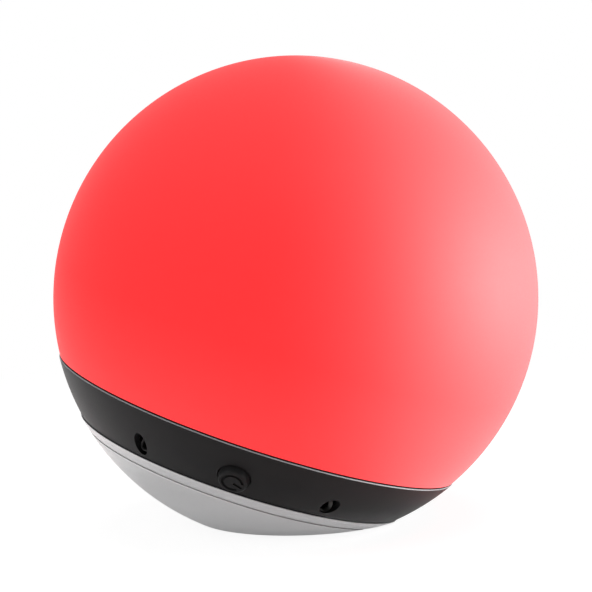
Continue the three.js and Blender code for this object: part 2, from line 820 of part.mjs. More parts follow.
function buttonShape() {
  const corner = buttonTopRadius - buttonEdgeRound;
  const edge = Array.from({ length: buttonEdgeSteps + 1 }, (_, k) => {
    const turn = (Math.PI / 2) * (1 - k / buttonEdgeSteps);
    return point(
      corner + buttonEdgeRound * Math.cos(turn),
      buttonProud - buttonEdgeRound + buttonEdgeRound * Math.sin(turn),
    );
  });
  return revolve([
    point(0, buttonProud),
    ...edge,
    point(buttonFootRadius, 0),
    point(buttonFootRadius, flangeTop),
    point(buttonFlangeRadius, flangeTop),
    point(buttonFlangeRadius, flangeTop - buttonFlangeThickness),
    point(buttonStemRadius, flangeTop - buttonFlangeThickness),
    point(buttonStemRadius, stemEnd),
    point(0, stemEnd),
  ], roundFacets);
}
addPiece(controls, 'power_button', buttonShape(), satinBlack());

addPiece(
  controls,
  'switch_plunger',
  disc(plungerRadius, switchTop - plungerDepth + fit, plungerTop, smallFacets),
  softBlack(),
);

const switchBody = cut(
  toSolid(block(0, 0, switchTop - switchHeight / 2, switchSide, switchSide, switchHeight)),
  [disc(plungerRadius + fit, switchTop - plungerDepth - plungerRoom, switchTop + overrun, smallFacets)],
);
addPiece(controls, 'switch_body', toGeometry(switchBody), darkSteel());

const switchBoardSolid = cut(
  toSolid(block(
    0,
    switchBoardMiddle,
    switchBoardTop - switchBoardThickness / 2,
    switchBoardLength,
    switchBoardHeight,
    switchBoardThickness,
  )),
  switchPosts.map((place) => disc(
    switchScrewShank + screwClearance,
    switchBoardBottom - overrun,
    switchBoardTop + overrun,
    smallFacets,
  ).translate(place.x, place.y, 0)),
);
addPiece(controls, 'switch_board', toGeometry(switchBoardSolid), boardGreen());

switchPosts.forEach((place, i) => {
  const screw = addPiece(
    controls,
    `switch_screw_${i + 1}`,
    screwShape(switchScrewLength, switchScrewShank, switchScrewHead),
    screwSteel(),
  );
  screw.rotation.x = Math.PI;
  screw.position.set(place.x, place.y, switchBoardBottom - fit);
});

// ---------- Main board and sockets ----------
function boardShape() {
  const half = rad(boardHalfAngle);
  const shape = new THREE.Shape();
  shape.absarc(0, 0, boardRadius, -Math.PI / 2 - half, -Math.PI / 2 + half, false);
  shape.lineTo(boardHalfWidth, -boardInnerEdge);
  shape.lineTo(-boardHalfWidth, -boardInnerEdge);
  shape.closePath();
  const holes = boardPosts.map((place) => disc(
    screwShankRadius + screwClearance,
    -boardBottomDrop - overrun,
    overrun - boardTopDrop,
    smallFacets,
  ).translate(place.x, place.y, 0));
  return toGeometry(cut(toSolid(plate(shape, -boardBottomDrop, boardThickness, fineCurve)), holes));
}
addPiece(leaning, 'main_board', boardShape(), boardGreen());

boardPosts.forEach((place, i) => {
  const screw = addPiece(leaning, `board_screw_${i + 1}`, screwShape(boardScrewLength), screwSteel());
  screw.position.set(place.x, place.y, -boardTopDrop + fit);
});

const chipBottom = -boardTopDrop + fit;
const chipRowWidth = moduleSize[0] + amplifierSize[0] + 2 * capacitorRadius + 2 * chipSpacing;
const chipEdge = -boardInnerEdge - chipInset;
const chip = (name, left, [sizeX, sizeY, sizeZ], look) => addPiece(
  leaning,
  name,
  block(left + sizeX / 2, chipEdge - sizeY / 2, chipBottom + sizeZ / 2, sizeX, sizeY, sizeZ),
  look,
);
const moduleLeft = -chipRowWidth / 2;
const amplifierLeft = moduleLeft + moduleSize[0] + chipSpacing;
const capacitorLeft = amplifierLeft + amplifierSize[0] + chipSpacing;
chip('bluetooth_module', moduleLeft, moduleSize, nickel());
chip('amplifier_chip', amplifierLeft, amplifierSize, softBlack());
addPiece(
  leaning,
  'capacitor',
  disc(capacitorRadius, chipBottom, chipBottom + capacitorHeight, smallFacets)
    .translate(capacitorLeft + capacitorRadius, chipEdge - capacitorRadius, 0),
  nickel(),
);

// Socket housings: a box on the board with a round nose behind the band's bore
const jackBox = () => block(0, 0, jackBodyReach - jackLength / 2, jackHeight, jackWidth, jackLength);

function dcJackShape() {
  const nose = disc(dcNoseRadius, jackBodyReach - overrun, jackFaceReach, roundFacets);
  const bore = disc(dcBoreRadius, jackFaceReach - dcBoreDepth, jackFaceReach + overrun, roundFacets);
  return toGeometry(toSolid(jackBox()).add(toSolid(nose)).subtract(toSolid(bore)));
}
addPiece(leaning, 'dc_jack', atPort(dcJackShape(), inletSide), softBlack());
const dcPinBottom = jackFaceReach - dcBoreDepth + fit;
addPiece(
  leaning,
  'dc_pin',
  atPort(disc(dcPinRadius, dcPinBottom, dcPinBottom + dcPinLength, smallFacets), inletSide),
  nickel(),
);

const auxBore = () => disc(
  auxBoreRadius,
  jackFaceReach - auxBoreDepth,
  jackFaceReach + overrun,
  smallFacets,
);
addPiece(
  leaning,
  'aux_jack',
  atPort(toGeometry(cut(toSolid(jackBox()), [auxBore()])), audioSide),
  softBlack(),
);
addPiece(
  leaning,
  'aux_sleeve',
  atPort(ring(auxBoreRadius, auxNoseRadius, jackBodyReach + fit, jackFaceReach, roundFacets), audioSide),
  nickel(),
);

// ---------- Battery ----------
addPiece(
  leaning,
  'battery_cell',
  disc(cellRadius, -cellLength / 2, cellLength / 2, roundFacets)
    .rotateY(Math.PI / 2)
    .translate(0, cellReach, -cellDrop),
  cellBlue(),
);

function strapShape() {
  const arch = new THREE.Shape();
  arch.absarc(0, 0, strapOuter, 0, Math.PI, false);
  arch.absarc(0, 0, strapInner, Math.PI, 0, true);
  arch.closePath();
  const bend = plate(arch, -strapWidth / 2, strapWidth, fineCurve);
  const feet = [-1, 1].map((side) => block(
    side * strapFootReach,
    strapThickness / 2,
    0,
    strapFootLength,
    strapThickness,
    strapWidth,
  ));
  const holes = [-1, 1].map((side) => (
    disc(screwShankRadius + screwClearance, -overrun, strapThickness + overrun, smallFacets)
      .rotateX(-Math.PI / 2)
      .translate(side * strapFootReach, 0, 0)
  ));
  const whole = cut(join(toSolid(bend), feet), holes);
  return toGeometry(whole)
    .rotateX(Math.PI / 2)
    .rotateZ(Math.PI / 2)
    .translate(0, cellReach, -cellDrop);
}
addPiece(leaning, 'battery_strap', strapShape(), softBlack());

strapFeet.forEach((place, i) => {
  const screw = addPiece(leaning, `strap_screw_${i + 1}`, screwShape(strapScrewLength), screwSteel());
  screw.position.set(place.x, place.y, -cellDrop + strapThickness + fit);
});

// ---------- Loudspeaker ----------
// Heights are measured upwards from the frame's front, which faces down.
const driver = new THREE.Group();
driver.position.set(speakerOffset, 0, frameFront);
level.add(driver);

addPiece(
  driver,
  'speaker_gasket',
  ring(gasketInner, gasketOuter, -fit - gasketThickness, -fit, roundFacets),
  softBlack(),
);

function frameShape() {
  const half = frameSide / 2;
  const inset = half - frameCornerRadius;
  const shape = new THREE.Shape();
  shape.absarc(inset, inset, frameCornerRadius, 0, Math.PI / 2, false);
  shape.absarc(-inset, inset, frameCornerRadius, Math.PI / 2, Math.PI, false);
  shape.absarc(-inset, -inset, frameCornerRadius, Math.PI, Math.PI * 1.5, false);
  shape.absarc(inset, -inset, frameCornerRadius, Math.PI * 1.5, Math.PI * 2, false);
  const ringOuter = frameOpening + frameRingWall;
  const basket = revolve([
    point(frameOpening, 0),
    point(ringOuter, 0),
    point(ringOuter, frameRingHeight),
    point(basketTopRadius, basketHeight),
    point(basketTopRadius, basketHeight + basketSkin),
    point(basketTopOpening, basketHeight + basketSkin),
    point(basketTopOpening, basketHeight),
    point(basketTopRadius - basketSkin, basketHeight),
    point(ringOuter - basketSkin - basketHaunch, frameRingHeight),
    point(frameOpening, frameRingHeight),
  ], roundFacets);
  const windowBottom = frameRingHeight + basketWindowMargin;
  const windowTop = basketHeight - basketWindowMargin;
  const middle = (windowBottom + windowTop) / 2;
  const windows = [0, 90].map((angle) => turned(
    block(0, 0, middle, 3 * frameSide, basketWindowWidth, windowTop - windowBottom),
    angle,
  ));
  const opening = disc(frameOpening + frameRingWall / 2, -overrun, framePlate + overrun, roundFacets);
  const plateSolid = toSolid(plate(shape, 0, framePlate, coarseCurve)).subtract(toSolid(opening));
  const holes = speakerCorners.map((place) => (
    disc(screwShankRadius + screwClearance, -overrun, framePlate + overrun, smallFacets)
      .translate(place.x - speakerOffset, place.y, 0)
  ));
  return toGeometry(cut(plateSolid.add(cut(toSolid(basket), windows)), holes));
}
addPiece(driver, 'speaker_frame', frameShape(), darkSteel());

speakerCorners.forEach((place, i) => {
  const screw = addPiece(driver, `speaker_screw_${i + 1}`, screwShape(speakerScrewLength), screwSteel());
  screw.position.set(place.x - speakerOffset, place.y, framePlate + fit);
});

const topPlateBottom = basketHeight + basketSkin + fit;
const magnetBottom = topPlateBottom + topPlateThickness + fit;
const backPlateBottom = magnetBottom + magnetHeight + fit;
addPiece(
  driver,
  'top_plate',
  ring(coilOuter + plateGap, topPlateRadius, topPlateBottom, topPlateBottom + topPlateThickness, roundFacets),
  darkSteel(),
);
addPiece(
  driver,
  'magnet',
  ring(magnetInner, magnetRadius, magnetBottom, magnetBottom + magnetHeight, roundFacets),
  ferrite(),
);
addPiece(driver, 'back_plate', revolve([
  point(0, topPlateBottom + poleShortfall),
  point(coilInner - poleGap, topPlateBottom + poleShortfall),
  point(coilInner - poleGap, backPlateBottom),
  point(backPlateRadius, backPlateBottom),
  point(backPlateRadius, backPlateBottom + backPlateThickness),
  point(0, backPlateBottom + backPlateThickness),
], roundFacets), darkSteel());

addPiece(
  driver,
  'voice_coil',
  ring(coilInner, coilOuter, coilStart, coilStart + coilLength, roundFacets),
  copper(),
);

// Moving cone: its neck sits round the coil and its wide edge meets the surround
const coneNeck = coilOuter + fit;
addPiece(driver, 'cone', revolve([
  point(coneNeck, coneNeckHeight),
  point(coneRadius - coneEdgeWidth, coneFrontHeight),
  point(coneRadius, coneFrontHeight),
  point(coneRadius, coneFrontHeight + coneThickness),
  point(coneNeck + coneEdgeWidth, coneNeckHeight + coneThickness),
  point(coneNeck, coneNeckHeight + coneThickness),
], roundFacets), paperBlack());

const coneSlope = (coneNeckHeight - coneFrontHeight) / (coneRadius - coneEdgeWidth - coneNeck);
const dustCapTop = coneNeckHeight - coneSlope * (dustCapRadius - coneNeck) - fit;
function dustCapShape() {
  const steps = [0, 0.5, 1];
  const bowl = (t, lift) => point(dustCapRadius * t, dustCapTop - dustCapBulge * (1 - t * t) + lift);
  return revolve([
    ...steps.map((t) => bowl(t, -dustCapThickness)),
    ...[...steps].reverse().map((t) => bowl(t, 0)),
  ], roundFacets);
}
addPiece(driver, 'dust_cap', dustCapShape(), paperBlack());

// Soft roll between the cone and the frame: the outer foot is fixed, the inner foot moves
const surroundOuter = frameOpening - fit;
const surroundInner = coneRadius + fit;
const surroundTop = frameRingHeight - surroundTopGap;
const surroundRoll = (radius) => Array.from({ length: surroundBendSteps + 1 }, (_, k) => {
  const turn = (Math.PI / 2) * (k / surroundBendSteps);
  return point(
    surroundOuter - surroundBend + radius * Math.sin(turn),
    surroundFront + surroundBend - radius * Math.cos(turn),
  );
});
addPiece(driver, 'surround', revolve([
  point(surroundInner, surroundFront + surroundThickness),
  point(surroundInner, surroundFront),
  ...surroundRoll(surroundBend),
  point(surroundOuter, surroundTop),
  point(surroundOuter - surroundThickness, surroundTop),
  ...surroundRoll(surroundBend - surroundThickness).reverse(),
], roundFacets), softBlack());

// Corrugated disc that centres the coil
function spiderShape() {
  const outerTop = basketHeight - fit;
  const inner = coilOuter + fit;
  const steps = spiderWaves * 2;
  const line = (k, lift) => {
    const t = k / steps;
    const wave = k > 0 && k < steps ? (spiderWaveHeight / 2) * Math.cos(k * Math.PI) : 0;
    return point(inner + (spiderRadius - inner) * t, outerTop - spiderDrop * (1 - t) + wave + lift);
  };
  const range = Array.from({ length: steps + 1 }, (_, k) => k);
  return revolve([
    ...range.map((k) => line(k, -spiderThickness)),
    ...range.reverse().map((k) => line(k, 0)),
  ], roundFacets);
}
addPiece(driver, 'spider', spiderShape(), copper());

// ---------- Grille and feet ----------
function grilleShape() {
  const rim = new THREE.Path().absarc(0, 0, grilleRadius, 0, 2 * Math.PI, false);
  const shape = new THREE.Shape(rim.getPoints(roundFacets / 2));
  for (let row = -grilleRings; row <= grilleRings; row += 1) {
    const count = 2 * grilleRings + 1 - Math.abs(row);
    for (let k = 0; k < count; k += 1) {
      const x = (k - (count - 1) / 2) * grillePitch;
      const y = (row * grillePitch * Math.sqrt(3)) / 2;
      shape.holes.push(new THREE.Path().absarc(x, y, grilleHoleRadius, 0, 2 * Math.PI, true));
    }
  }
  return plate(shape, -flatDrop + grilleRecess - fit - grilleThickness, grilleThickness, coarseCurve);
}
addPiece(level, 'grille_plate', underBowl(grilleShape()), satinBlack());

feetAngles.forEach((angle, i) => {
  const pad = plate(padShape(padInner, padOuter, padSpan), -flatDrop - padProud, padThickness, coarseCurve);
  addPiece(level, `foot_pad_${i + 1}`, underBowl(pad, angle), softBlack());
});

export default speaker;
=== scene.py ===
import math

import bmesh
import bpy
from mathutils import Matrix, Vector


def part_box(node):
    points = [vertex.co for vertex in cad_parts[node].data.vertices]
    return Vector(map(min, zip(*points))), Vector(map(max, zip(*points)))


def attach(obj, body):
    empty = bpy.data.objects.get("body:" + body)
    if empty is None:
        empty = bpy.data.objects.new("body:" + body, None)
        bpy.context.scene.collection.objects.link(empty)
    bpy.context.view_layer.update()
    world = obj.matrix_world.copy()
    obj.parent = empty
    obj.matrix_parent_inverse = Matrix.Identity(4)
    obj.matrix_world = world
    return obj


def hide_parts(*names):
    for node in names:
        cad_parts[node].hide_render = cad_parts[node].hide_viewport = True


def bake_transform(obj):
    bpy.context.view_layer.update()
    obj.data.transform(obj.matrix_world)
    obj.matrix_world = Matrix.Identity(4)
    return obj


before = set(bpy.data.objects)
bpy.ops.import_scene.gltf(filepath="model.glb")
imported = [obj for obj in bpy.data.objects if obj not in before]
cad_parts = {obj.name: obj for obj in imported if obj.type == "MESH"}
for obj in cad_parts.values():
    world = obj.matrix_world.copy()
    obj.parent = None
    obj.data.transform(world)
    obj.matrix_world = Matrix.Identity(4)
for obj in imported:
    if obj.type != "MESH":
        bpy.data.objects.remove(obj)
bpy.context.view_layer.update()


# ---------- Light globe ----------
# The diffuser of the lamp: one moulded milky shell with a satin skin, lit red from inside.
# Its short spigot drops into a groove in the control band.

# Sizes here and below are in millimetres about the ball's centre, and a piece is brought to
# metres as it is placed. The slack is the play allowed where a face is picked by its place.
MILLIMETRE = 0.001
SLACK = 0.02
globe_low, globe_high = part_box("globe")
globe_radius = (globe_high.x - globe_low.x) / 2 / MILLIMETRE
ball_centre = Vector((
    (globe_low.x + globe_high.x) / 2,
    (globe_low.y + globe_high.y) / 2,
    globe_high.z - globe_radius * MILLIMETRE,
))
lean = math.radians(20.2)
level = Matrix.Translation(ball_centre)
leaning = level @ Matrix.Rotation(lean, 4, "Y")

globe_wall = 2.2
globe_rim_drop = 45.75
globe_lip = 2.2
spigot_outer = 73.01
spigot_inner = 70.91
spigot_end_drop = 49.85
varnish_full_drop = 46
varnish_end_drop = 12
varnish_weight = 0.7
shell_red = (0.2, 0.035, 0.037, 1)


def reach(radius, drop):
    """Distance from the turning axis to a ball's surface, at a height below its centre."""
    return math.sqrt(radius**2 - drop**2)


def ball_arc(radius, start, end, steps):
    """Outline points on a ball from one height to another, both measured up from its centre."""
    low, high = math.asin(start / radius), math.asin(end / radius)
    turns = [low + (high - low) * k / steps for k in range(steps + 1)]
    return [(radius * math.cos(turn), radius * math.sin(turn)) for turn in turns]


def turned(outline, steps=240):
    """A turned solid: a half outline of (radius, height) points, swept once round the axis."""
    on_axis = 1e-6
    weld = 1e-4
    mesh = bmesh.new()
    points = [mesh.verts.new((radius, 0, height)) for radius, height in outline]
    lines = list(zip(points, points[1:]))
    if outline[0][0] > on_axis or outline[-1][0] > on_axis:
        lines.append((points[-1], points[0]))
    edges = [mesh.edges.new(line) for line in lines]
    bmesh.ops.spin(
        mesh, geom=points + edges, cent=(0, 0, 0), axis=(0, 0, 1),
        angle=math.tau, steps=steps, use_merge=True,
    )
    bmesh.ops.remove_doubles(mesh, verts=mesh.verts, dist=weld)
    bmesh.ops.recalc_face_normals(mesh, faces=mesh.faces)
    return mesh


def soften(mesh, width, sharper_than=45, segments=2):
    """Rounds every edge that turns by more than an angle."""
    sharp = [
        edge for edge in mesh.edges
        if edge.is_manifold and edge.calc_face_angle() > math.radians(sharper_than)
    ]
    bmesh.ops.bevel(
        mesh, geom=sharp, offset=width, segments=segments, profile=0.5,
        affect="EDGES", material=-1, clamp_overlap=True,
    )
    return mesh


def as_object(name, mesh, crease=32):
    """Makes an object of a mesh, smooth but for edges that turn by more than the crease."""
    data = bpy.data.meshes.new(name)
    mesh.to_mesh(data)
    mesh.free()
    data.shade_smooth()
    data.set_sharp_from_angle(angle=math.radians(crease))
    thing = bpy.data.objects.new(name, data)
    bpy.context.scene.collection.objects.link(thing)
    return thing


def fitted(name, mesh, place, finish, body, nodes):
    """Places a finished mesh, gives it its finish and lets it ride on its body."""
    bmesh.ops.transform(mesh, matrix=place @ Matrix.Scale(MILLIMETRE, 4), verts=mesh.verts)
    piece = as_object(name, mesh)
    piece.data.materials.append(finish)
    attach(piece, body)
    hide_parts(*nodes)
    return piece


def effect_group(name, inputs, outputs):
    """An empty shader group with its sockets made, and its two end nodes."""
    group = bpy.data.node_groups.new(name, "ShaderNodeTree")
    for label, kind, value in inputs:
        socket = group.interface.new_socket(label, in_out="INPUT", socket_type=kind)
        socket.default_value = value
    for label, kind in outputs:
        group.interface.new_socket(label, in_out="OUTPUT", socket_type=kind)
    entry = group.nodes.new("NodeGroupInput")
    end = group.nodes.new("NodeGroupOutput")
    return group, entry, end


# Fine moulded skin: an even grain that roughens the surface, and a slow drift in tone
skin_grain, grain_in, grain_out = effect_group(
    "skin_grain",
    [("Grain Size", "NodeSocketFloat", 2500.0), ("Depth", "NodeSocketFloat", 0.00002),
     ("Drift Size", "NodeSocketFloat", 14.0)],
    [("Normal", "NodeSocketVector"), ("Grain", "NodeSocketFloat"), ("Drift", "NodeSocketFloat")],
)
place_node = skin_grain.nodes.new("ShaderNodeTexCoord")
fine = skin_grain.nodes.new("ShaderNodeTexNoise")
fine.inputs["Detail"].default_value = 3
slow = skin_grain.nodes.new("ShaderNodeTexNoise")
slow.inputs["Detail"].default_value = 2
relief = skin_grain.nodes.new("ShaderNodeBump")
relief.inputs["Strength"].default_value = 1
for texture, size in ((fine, "Grain Size"), (slow, "Drift Size")):
    skin_grain.links.new(place_node.outputs["Object"], texture.inputs["Vector"])
    skin_grain.links.new(grain_in.outputs[size], texture.inputs["Scale"])
skin_grain.links.new(fine.outputs["Fac"], relief.inputs["Height"])
skin_grain.links.new(grain_in.outputs["Depth"], relief.inputs["Distance"])
skin_grain.links.new(relief.outputs["Normal"], grain_out.inputs["Normal"])
skin_grain.links.new(fine.outputs["Fac"], grain_out.inputs["Grain"])
skin_grain.links.new(slow.outputs["Fac"], grain_out.inputs["Drift"])


def finish_of(name, colour, roughness, metallic=0.0, specular=0.5):
    """A new finish with its even values set on the shader itself."""
    finish = bpy.data.materials.new(name)
    finish.use_nodes = True
    shader = finish.node_tree.nodes["Principled BSDF"]
    shader.inputs["Base Color"].default_value = colour
    shader.inputs["Roughness"].default_value = roughness
    shader.inputs["Metallic"].default_value = metallic
    shader.inputs["Specular IOR Level"].default_value = specular
    return finish, finish.node_tree, shader


def add_grain(tree, shader, grain_size, depth, drift_size=14.0):
    """Puts the moulded grain on a finish, and hands back its node for colour and gloss."""
    grain = tree.nodes.new("ShaderNodeGroup")
    grain.node_tree = skin_grain
    grain.inputs["Grain Size"].default_value = grain_size
    grain.inputs["Depth"].default_value = depth
    grain.inputs["Drift Size"].default_value = drift_size
    tree.links.new(grain.outputs["Normal"], shader.inputs["Normal"])
    return grain


def vary(tree, source, socket, low, high):
    """Lets a mask move a number on the shader between two values."""
    span = tree.nodes.new("ShaderNodeMapRange")
    span.inputs["From Min"].default_value = 0.3
    span.inputs["From Max"].default_value = 0.7
    span.inputs["To Min"].default_value = low
    span.inputs["To Max"].default_value = high
    tree.links.new(source, span.inputs["Value"])
    tree.links.new(span.outputs["Result"], socket)


def blend_colours(tree, source, socket, first, second):
    """Lets a mask move a colour on the shader between two colours."""
    ramp = tree.nodes.new("ShaderNodeValToRGB")
    ramp.color_ramp.elements[0].position = 0.35
    ramp.color_ramp.elements[0].color = first
    ramp.color_ramp.elements[1].position = 0.65
    ramp.color_ramp.elements[1].color = second
    tree.links.new(source, ramp.inputs["Fac"])
    tree.links.new(ramp.outputs["Color"], socket)


def grained_finish(name, colour, roughness, rough_span, grain_size, depth, **even):
    """A finish of one colour whose roughness follows the grain between two values."""
    finish, tree, shader = finish_of(name, colour, roughness, **even)
    grain = add_grain(tree, shader, grain_size, depth)
    vary(tree, grain.outputs["Grain"], shader.inputs["Roughness"], *rough_span)
    return finish


lit_diffuser, tree, shader = finish_of("lit_diffuser", shell_red, roughness=0.7, specular=0.22)
shader.inputs["Sheen Weight"].default_value = 0.08
shader.inputs["Sheen Roughness"].default_value = 0.4
shader.inputs["Emission Strength"].default_value = 1.0
grain = add_grain(tree, shader, grain_size=1500.0, depth=0.00001, drift_size=9.0)
vary(tree, grain.outputs["Grain"], shader.inputs["Roughness"], 0.66, 0.74)
blend_colours(tree, grain.outputs["Drift"], shader.inputs["Emission Color"],
              (0.97, 0.006, 0.008, 1), (1.0, 0.009, 0.012, 1))

# A satin varnish thickens towards the rim, so more of the light from outside shows there
shader.inputs["Coat Roughness"].default_value = 0.7
place_node = tree.nodes.new("ShaderNodeTexCoord")
along_axis = tree.nodes.new("ShaderNodeVectorMath")
along_axis.operation = "DOT_PRODUCT"
axis = Vector((math.sin(lean), 0, math.cos(lean)))
along_axis.inputs[1].default_value = axis
near_rim = tree.nodes.new("ShaderNodeMapRange")
near_rim.inputs["From Min"].default_value = ball_centre.dot(axis) - varnish_full_drop * MILLIMETRE
near_rim.inputs["From Max"].default_value = ball_centre.dot(axis) - varnish_end_drop * MILLIMETRE
near_rim.inputs["To Min"].default_value = varnish_weight
near_rim.inputs["To Max"].default_value = 0.0
tree.links.new(place_node.outputs["Object"], along_axis.inputs[0])
tree.links.new(along_axis.outputs["Value"], near_rim.inputs["Value"])
tree.links.new(near_rim.outputs["Result"], shader.inputs["Coat Weight"])

globe_inner = globe_radius - globe_wall
globe_outline = [
    *ball_arc(globe_radius, globe_radius, -globe_rim_drop, steps=110),
    (spigot_outer, -globe_rim_drop),
    (spigot_outer, -spigot_end_drop),
    (spigot_inner, -spigot_end_drop),
    (spigot_inner, globe_lip - globe_rim_drop),
    *ball_arc(globe_inner, globe_lip - globe_rim_drop, globe_inner, steps=60),
]

# The rim and the spigot are dark and do not glow: painted shade for the gap between the globe and
# the band
rim_painted_shade = grained_finish(
    "rim_painted_shade", (0.012, 0.006, 0.006, 1), roughness=0.7, rough_span=(0.65, 0.75),
    grain_size=2400.0, depth=0.00001, specular=0.2,
)
globe_mesh = turned(globe_outline)
# The faces at and below the rim take the painted shade
for face in globe_mesh.faces:
    if -face.calc_center_median().z > globe_rim_drop - SLACK:
        face.material_index = 1
globe = fitted("light_globe", globe_mesh, leaning, lit_diffuser, "housing",
               ["globe"])
globe.data.materials.append(rim_painted_shade)


# ---------- Control band ----------
# A black moulded ring that carries the globe and the controls. Both edges are broken, the upper
# one by a narrow chamfer in a pale painted highlight. The audio socket and the button sit in
# round holes, and the power inlet in an oval one.
band_radius = 90.4
band_wall = 2.6
band_top_drop = 46.35
band_bottom_drop = 64.91
band_edge = 0.4
band_foot_inset = band_edge * 0.2
band_foot_rise = band_edge * 0.3
groove_radius = 73.31
ledge_drop = 51.25
ledge_inner = 68.71
port_drop = 59.7
port_spread = math.radians(30.65)
port_radius = 3.3
port_cut = (50, 80)
inlet_half_width = 2.75
inlet_half_height = 3.85
button_latitude = math.radians(-40.35)
button_hole_radius = 6.0
button_hole_cut = (-6, 4)
flat_drop = 81.97

level_up = Matrix.Rotation(-lean, 3, "Y") @ Vector((0, 0, 1))
to_leaning = Matrix.Rotation(-lean, 4, "Y")


def band_outline():
    """The band's section: both edges broken, and a ledge and groove for the globe inside."""
    inner = band_radius - band_wall
    top = reach(band_radius, band_top_drop)
    bottom = reach(band_radius, band_bottom_drop)
    return [
        (groove_radius, -band_top_drop),
        (top - band_edge, -band_top_drop),
        *ball_arc(
            band_radius, -band_top_drop - band_edge, band_foot_rise - band_bottom_drop, steps=26),
        (bottom - band_foot_inset, -band_bottom_drop),
        *ball_arc(inner, -band_bottom_drop, -reach(inner, ledge_inner), steps=12),
        (ledge_inner, -ledge_drop),
        (groove_radius, -ledge_drop),
    ]


def drum(radius, bottom, top, sides=48):
    """A plain round cutter or boss between two heights."""
    mesh = bmesh.new()
    bmesh.ops.create_cone(
        mesh, cap_ends=True, segments=sides, radius1=radius, radius2=radius, depth=top - bottom,
    )
    bmesh.ops.translate(mesh, vec=(0, 0, (top + bottom) / 2), verts=mesh.verts)
    return mesh


def moved(mesh, place):
    """Moves a whole mesh by a matrix."""
    bmesh.ops.transform(mesh, matrix=place, verts=mesh.verts)
    return mesh


def carved(mesh, cutters, operation="DIFFERENCE"):
    """Cuts a solid by others, or joins them to it, one after the other."""
    whole = as_object("carving", mesh)
    tools = [as_object("cutter", cutter) for cutter in cutters]
    for tool in tools:
        step = whole.modifiers.new("carve", "BOOLEAN")
        step.operation = operation
        step.solver = "EXACT"
        step.object = tool
    shaped = whole.evaluated_get(bpy.context.evaluated_depsgraph_get())
    result = bmesh.new()
    result.from_mesh(shaped.data)
    for thing in [whole, *tools]:
        bpy.data.objects.remove(thing)
    return result


def cut_level(mesh, drop):
    """Cuts everything below a level plane away and closes the cut."""
    cut = bmesh.ops.bisect_plane(
        mesh, geom=[*mesh.verts, *mesh.edges, *mesh.faces],
        plane_co=level_up * -drop, plane_no=-level_up, clear_outer=True,
    )
    rim = [item for item in cut["geom_cut"] if isinstance(item, bmesh.types.BMEdge)]
    bmesh.ops.triangle_fill(mesh, edges=rim, use_beauty=True)
    bmesh.ops.recalc_face_normals(mesh, faces=mesh.faces)
    return mesh


button_out = Vector((0, -math.cos(button_latitude), math.sin(button_latitude)))
button_across = Vector((1, 0, 0))
button_up = button_out.cross(button_across)
button_turn = Matrix((button_across, button_up, button_out)).transposed().to_4x4()
button_place = Matrix.Translation(button_out * band_radius) @ button_turn


def port_place(side):
    """The frame of a socket: +Z runs outwards along its bore. Side is -1 or 1."""
    turn = Matrix.Rotation(side * port_spread - math.pi / 2, 4, "Z")
    return Matrix.Translation((0, 0, -port_drop)) @ turn @ Matrix.Rotation(math.pi / 2, 4, "Y")


inlet_oval = Matrix.Diagonal((inlet_half_height, inlet_half_width, 1, 1))
band_mesh = carved(
    cut_level(turned(band_outline(), steps=360), flat_drop),
    [
        moved(drum(1, *port_cut, sides=64), port_place(-1) @ inlet_oval),
        moved(drum(port_radius, *port_cut, sides=64), port_place(1)),
        moved(drum(button_hole_radius, *button_hole_cut, sides=96), button_place),
    ],
)

satin_black, tree, shader = finish_of(
    "satin_black", (0.011, 0.011, 0.0113, 1), roughness=0.42, specular=0.15)
grain = add_grain(tree, shader, grain_size=3800.0, depth=0.000003, drift_size=25.0)
vary(tree, grain.outputs["Grain"], shader.inputs["Roughness"], 0.38, 0.46)
blend_colours(tree, grain.outputs["Drift"], shader.inputs["Base Color"],
              (0.01, 0.01, 0.0103, 1), (0.012, 0.012, 0.0123, 1))

# The chamfer round the top edge is painted pale grey: a painted highlight along the edge
chamfer_painted_highlight = grained_finish(
    "chamfer_painted_highlight", (0.38, 0.44, 0.45, 1), roughness=0.6, rough_span=(0.55, 0.65),
    grain_size=3000.0, depth=0.000005, specular=0.06,
)
# The chamfer's faces take the painted highlight
for face in band_mesh.faces:
    middle = face.calc_center_median()
    on_chamfer = band_top_drop + SLACK < -middle.z < band_top_drop + band_edge - SLACK
    if on_chamfer and middle.length > band_radius - band_edge:
        face.material_index = 1
band = fitted("band", band_mesh, leaning, satin_black, "housing", ["control_band"])
band.data.materials.append(chamfer_painted_highlight)


# ---------- Bowl ----------
# The lower housing, moulded and sprayed in satin silver. A reveal groove runs just below its rim.
# The underside is level, with a recess for the grille and pockets for four foot pads.
bowl_radius = 90.9
bowl_wall = 2.8
bowl_rim_drop = 64.95
bowl_edge = 0.4
rim_round_shares = ((1.3, 0), (0.8, 0.1), (0.55, 0.3))
shoulder_share = 0.65
shoulder_sunk = 0.07
ball_arc_share = 1.2
bowl_groove_drop = 68.76
bowl_groove_half = 0.75
bowl_groove_depth = 0.35
groove_edge = 0.12
foot_round = 6.0
foot_steps = 6
foot_lead = 0.1
lip_outer = 58.63
lip_inner = 56.93
lip_rise = 2.1
lip_root = 1.8
lip_chamfer = 0.4
lip_gap = 0.3
cavity_rise = 4
floor_thickness = 2.4
speaker_offset = -4.0
sound_hole_radius = 19.5
sound_hole_rise = 6
grille_radius = 24.0
grille_gap = 0.3
grille_recess = 1.4
pad_inner = 26.4
pad_outer = 30.4
pad_span = 50.0
pad_gap = 0.3
pad_pocket = 1.0
pad_angles = (45, 135, 225, 315)
cut_below = 2


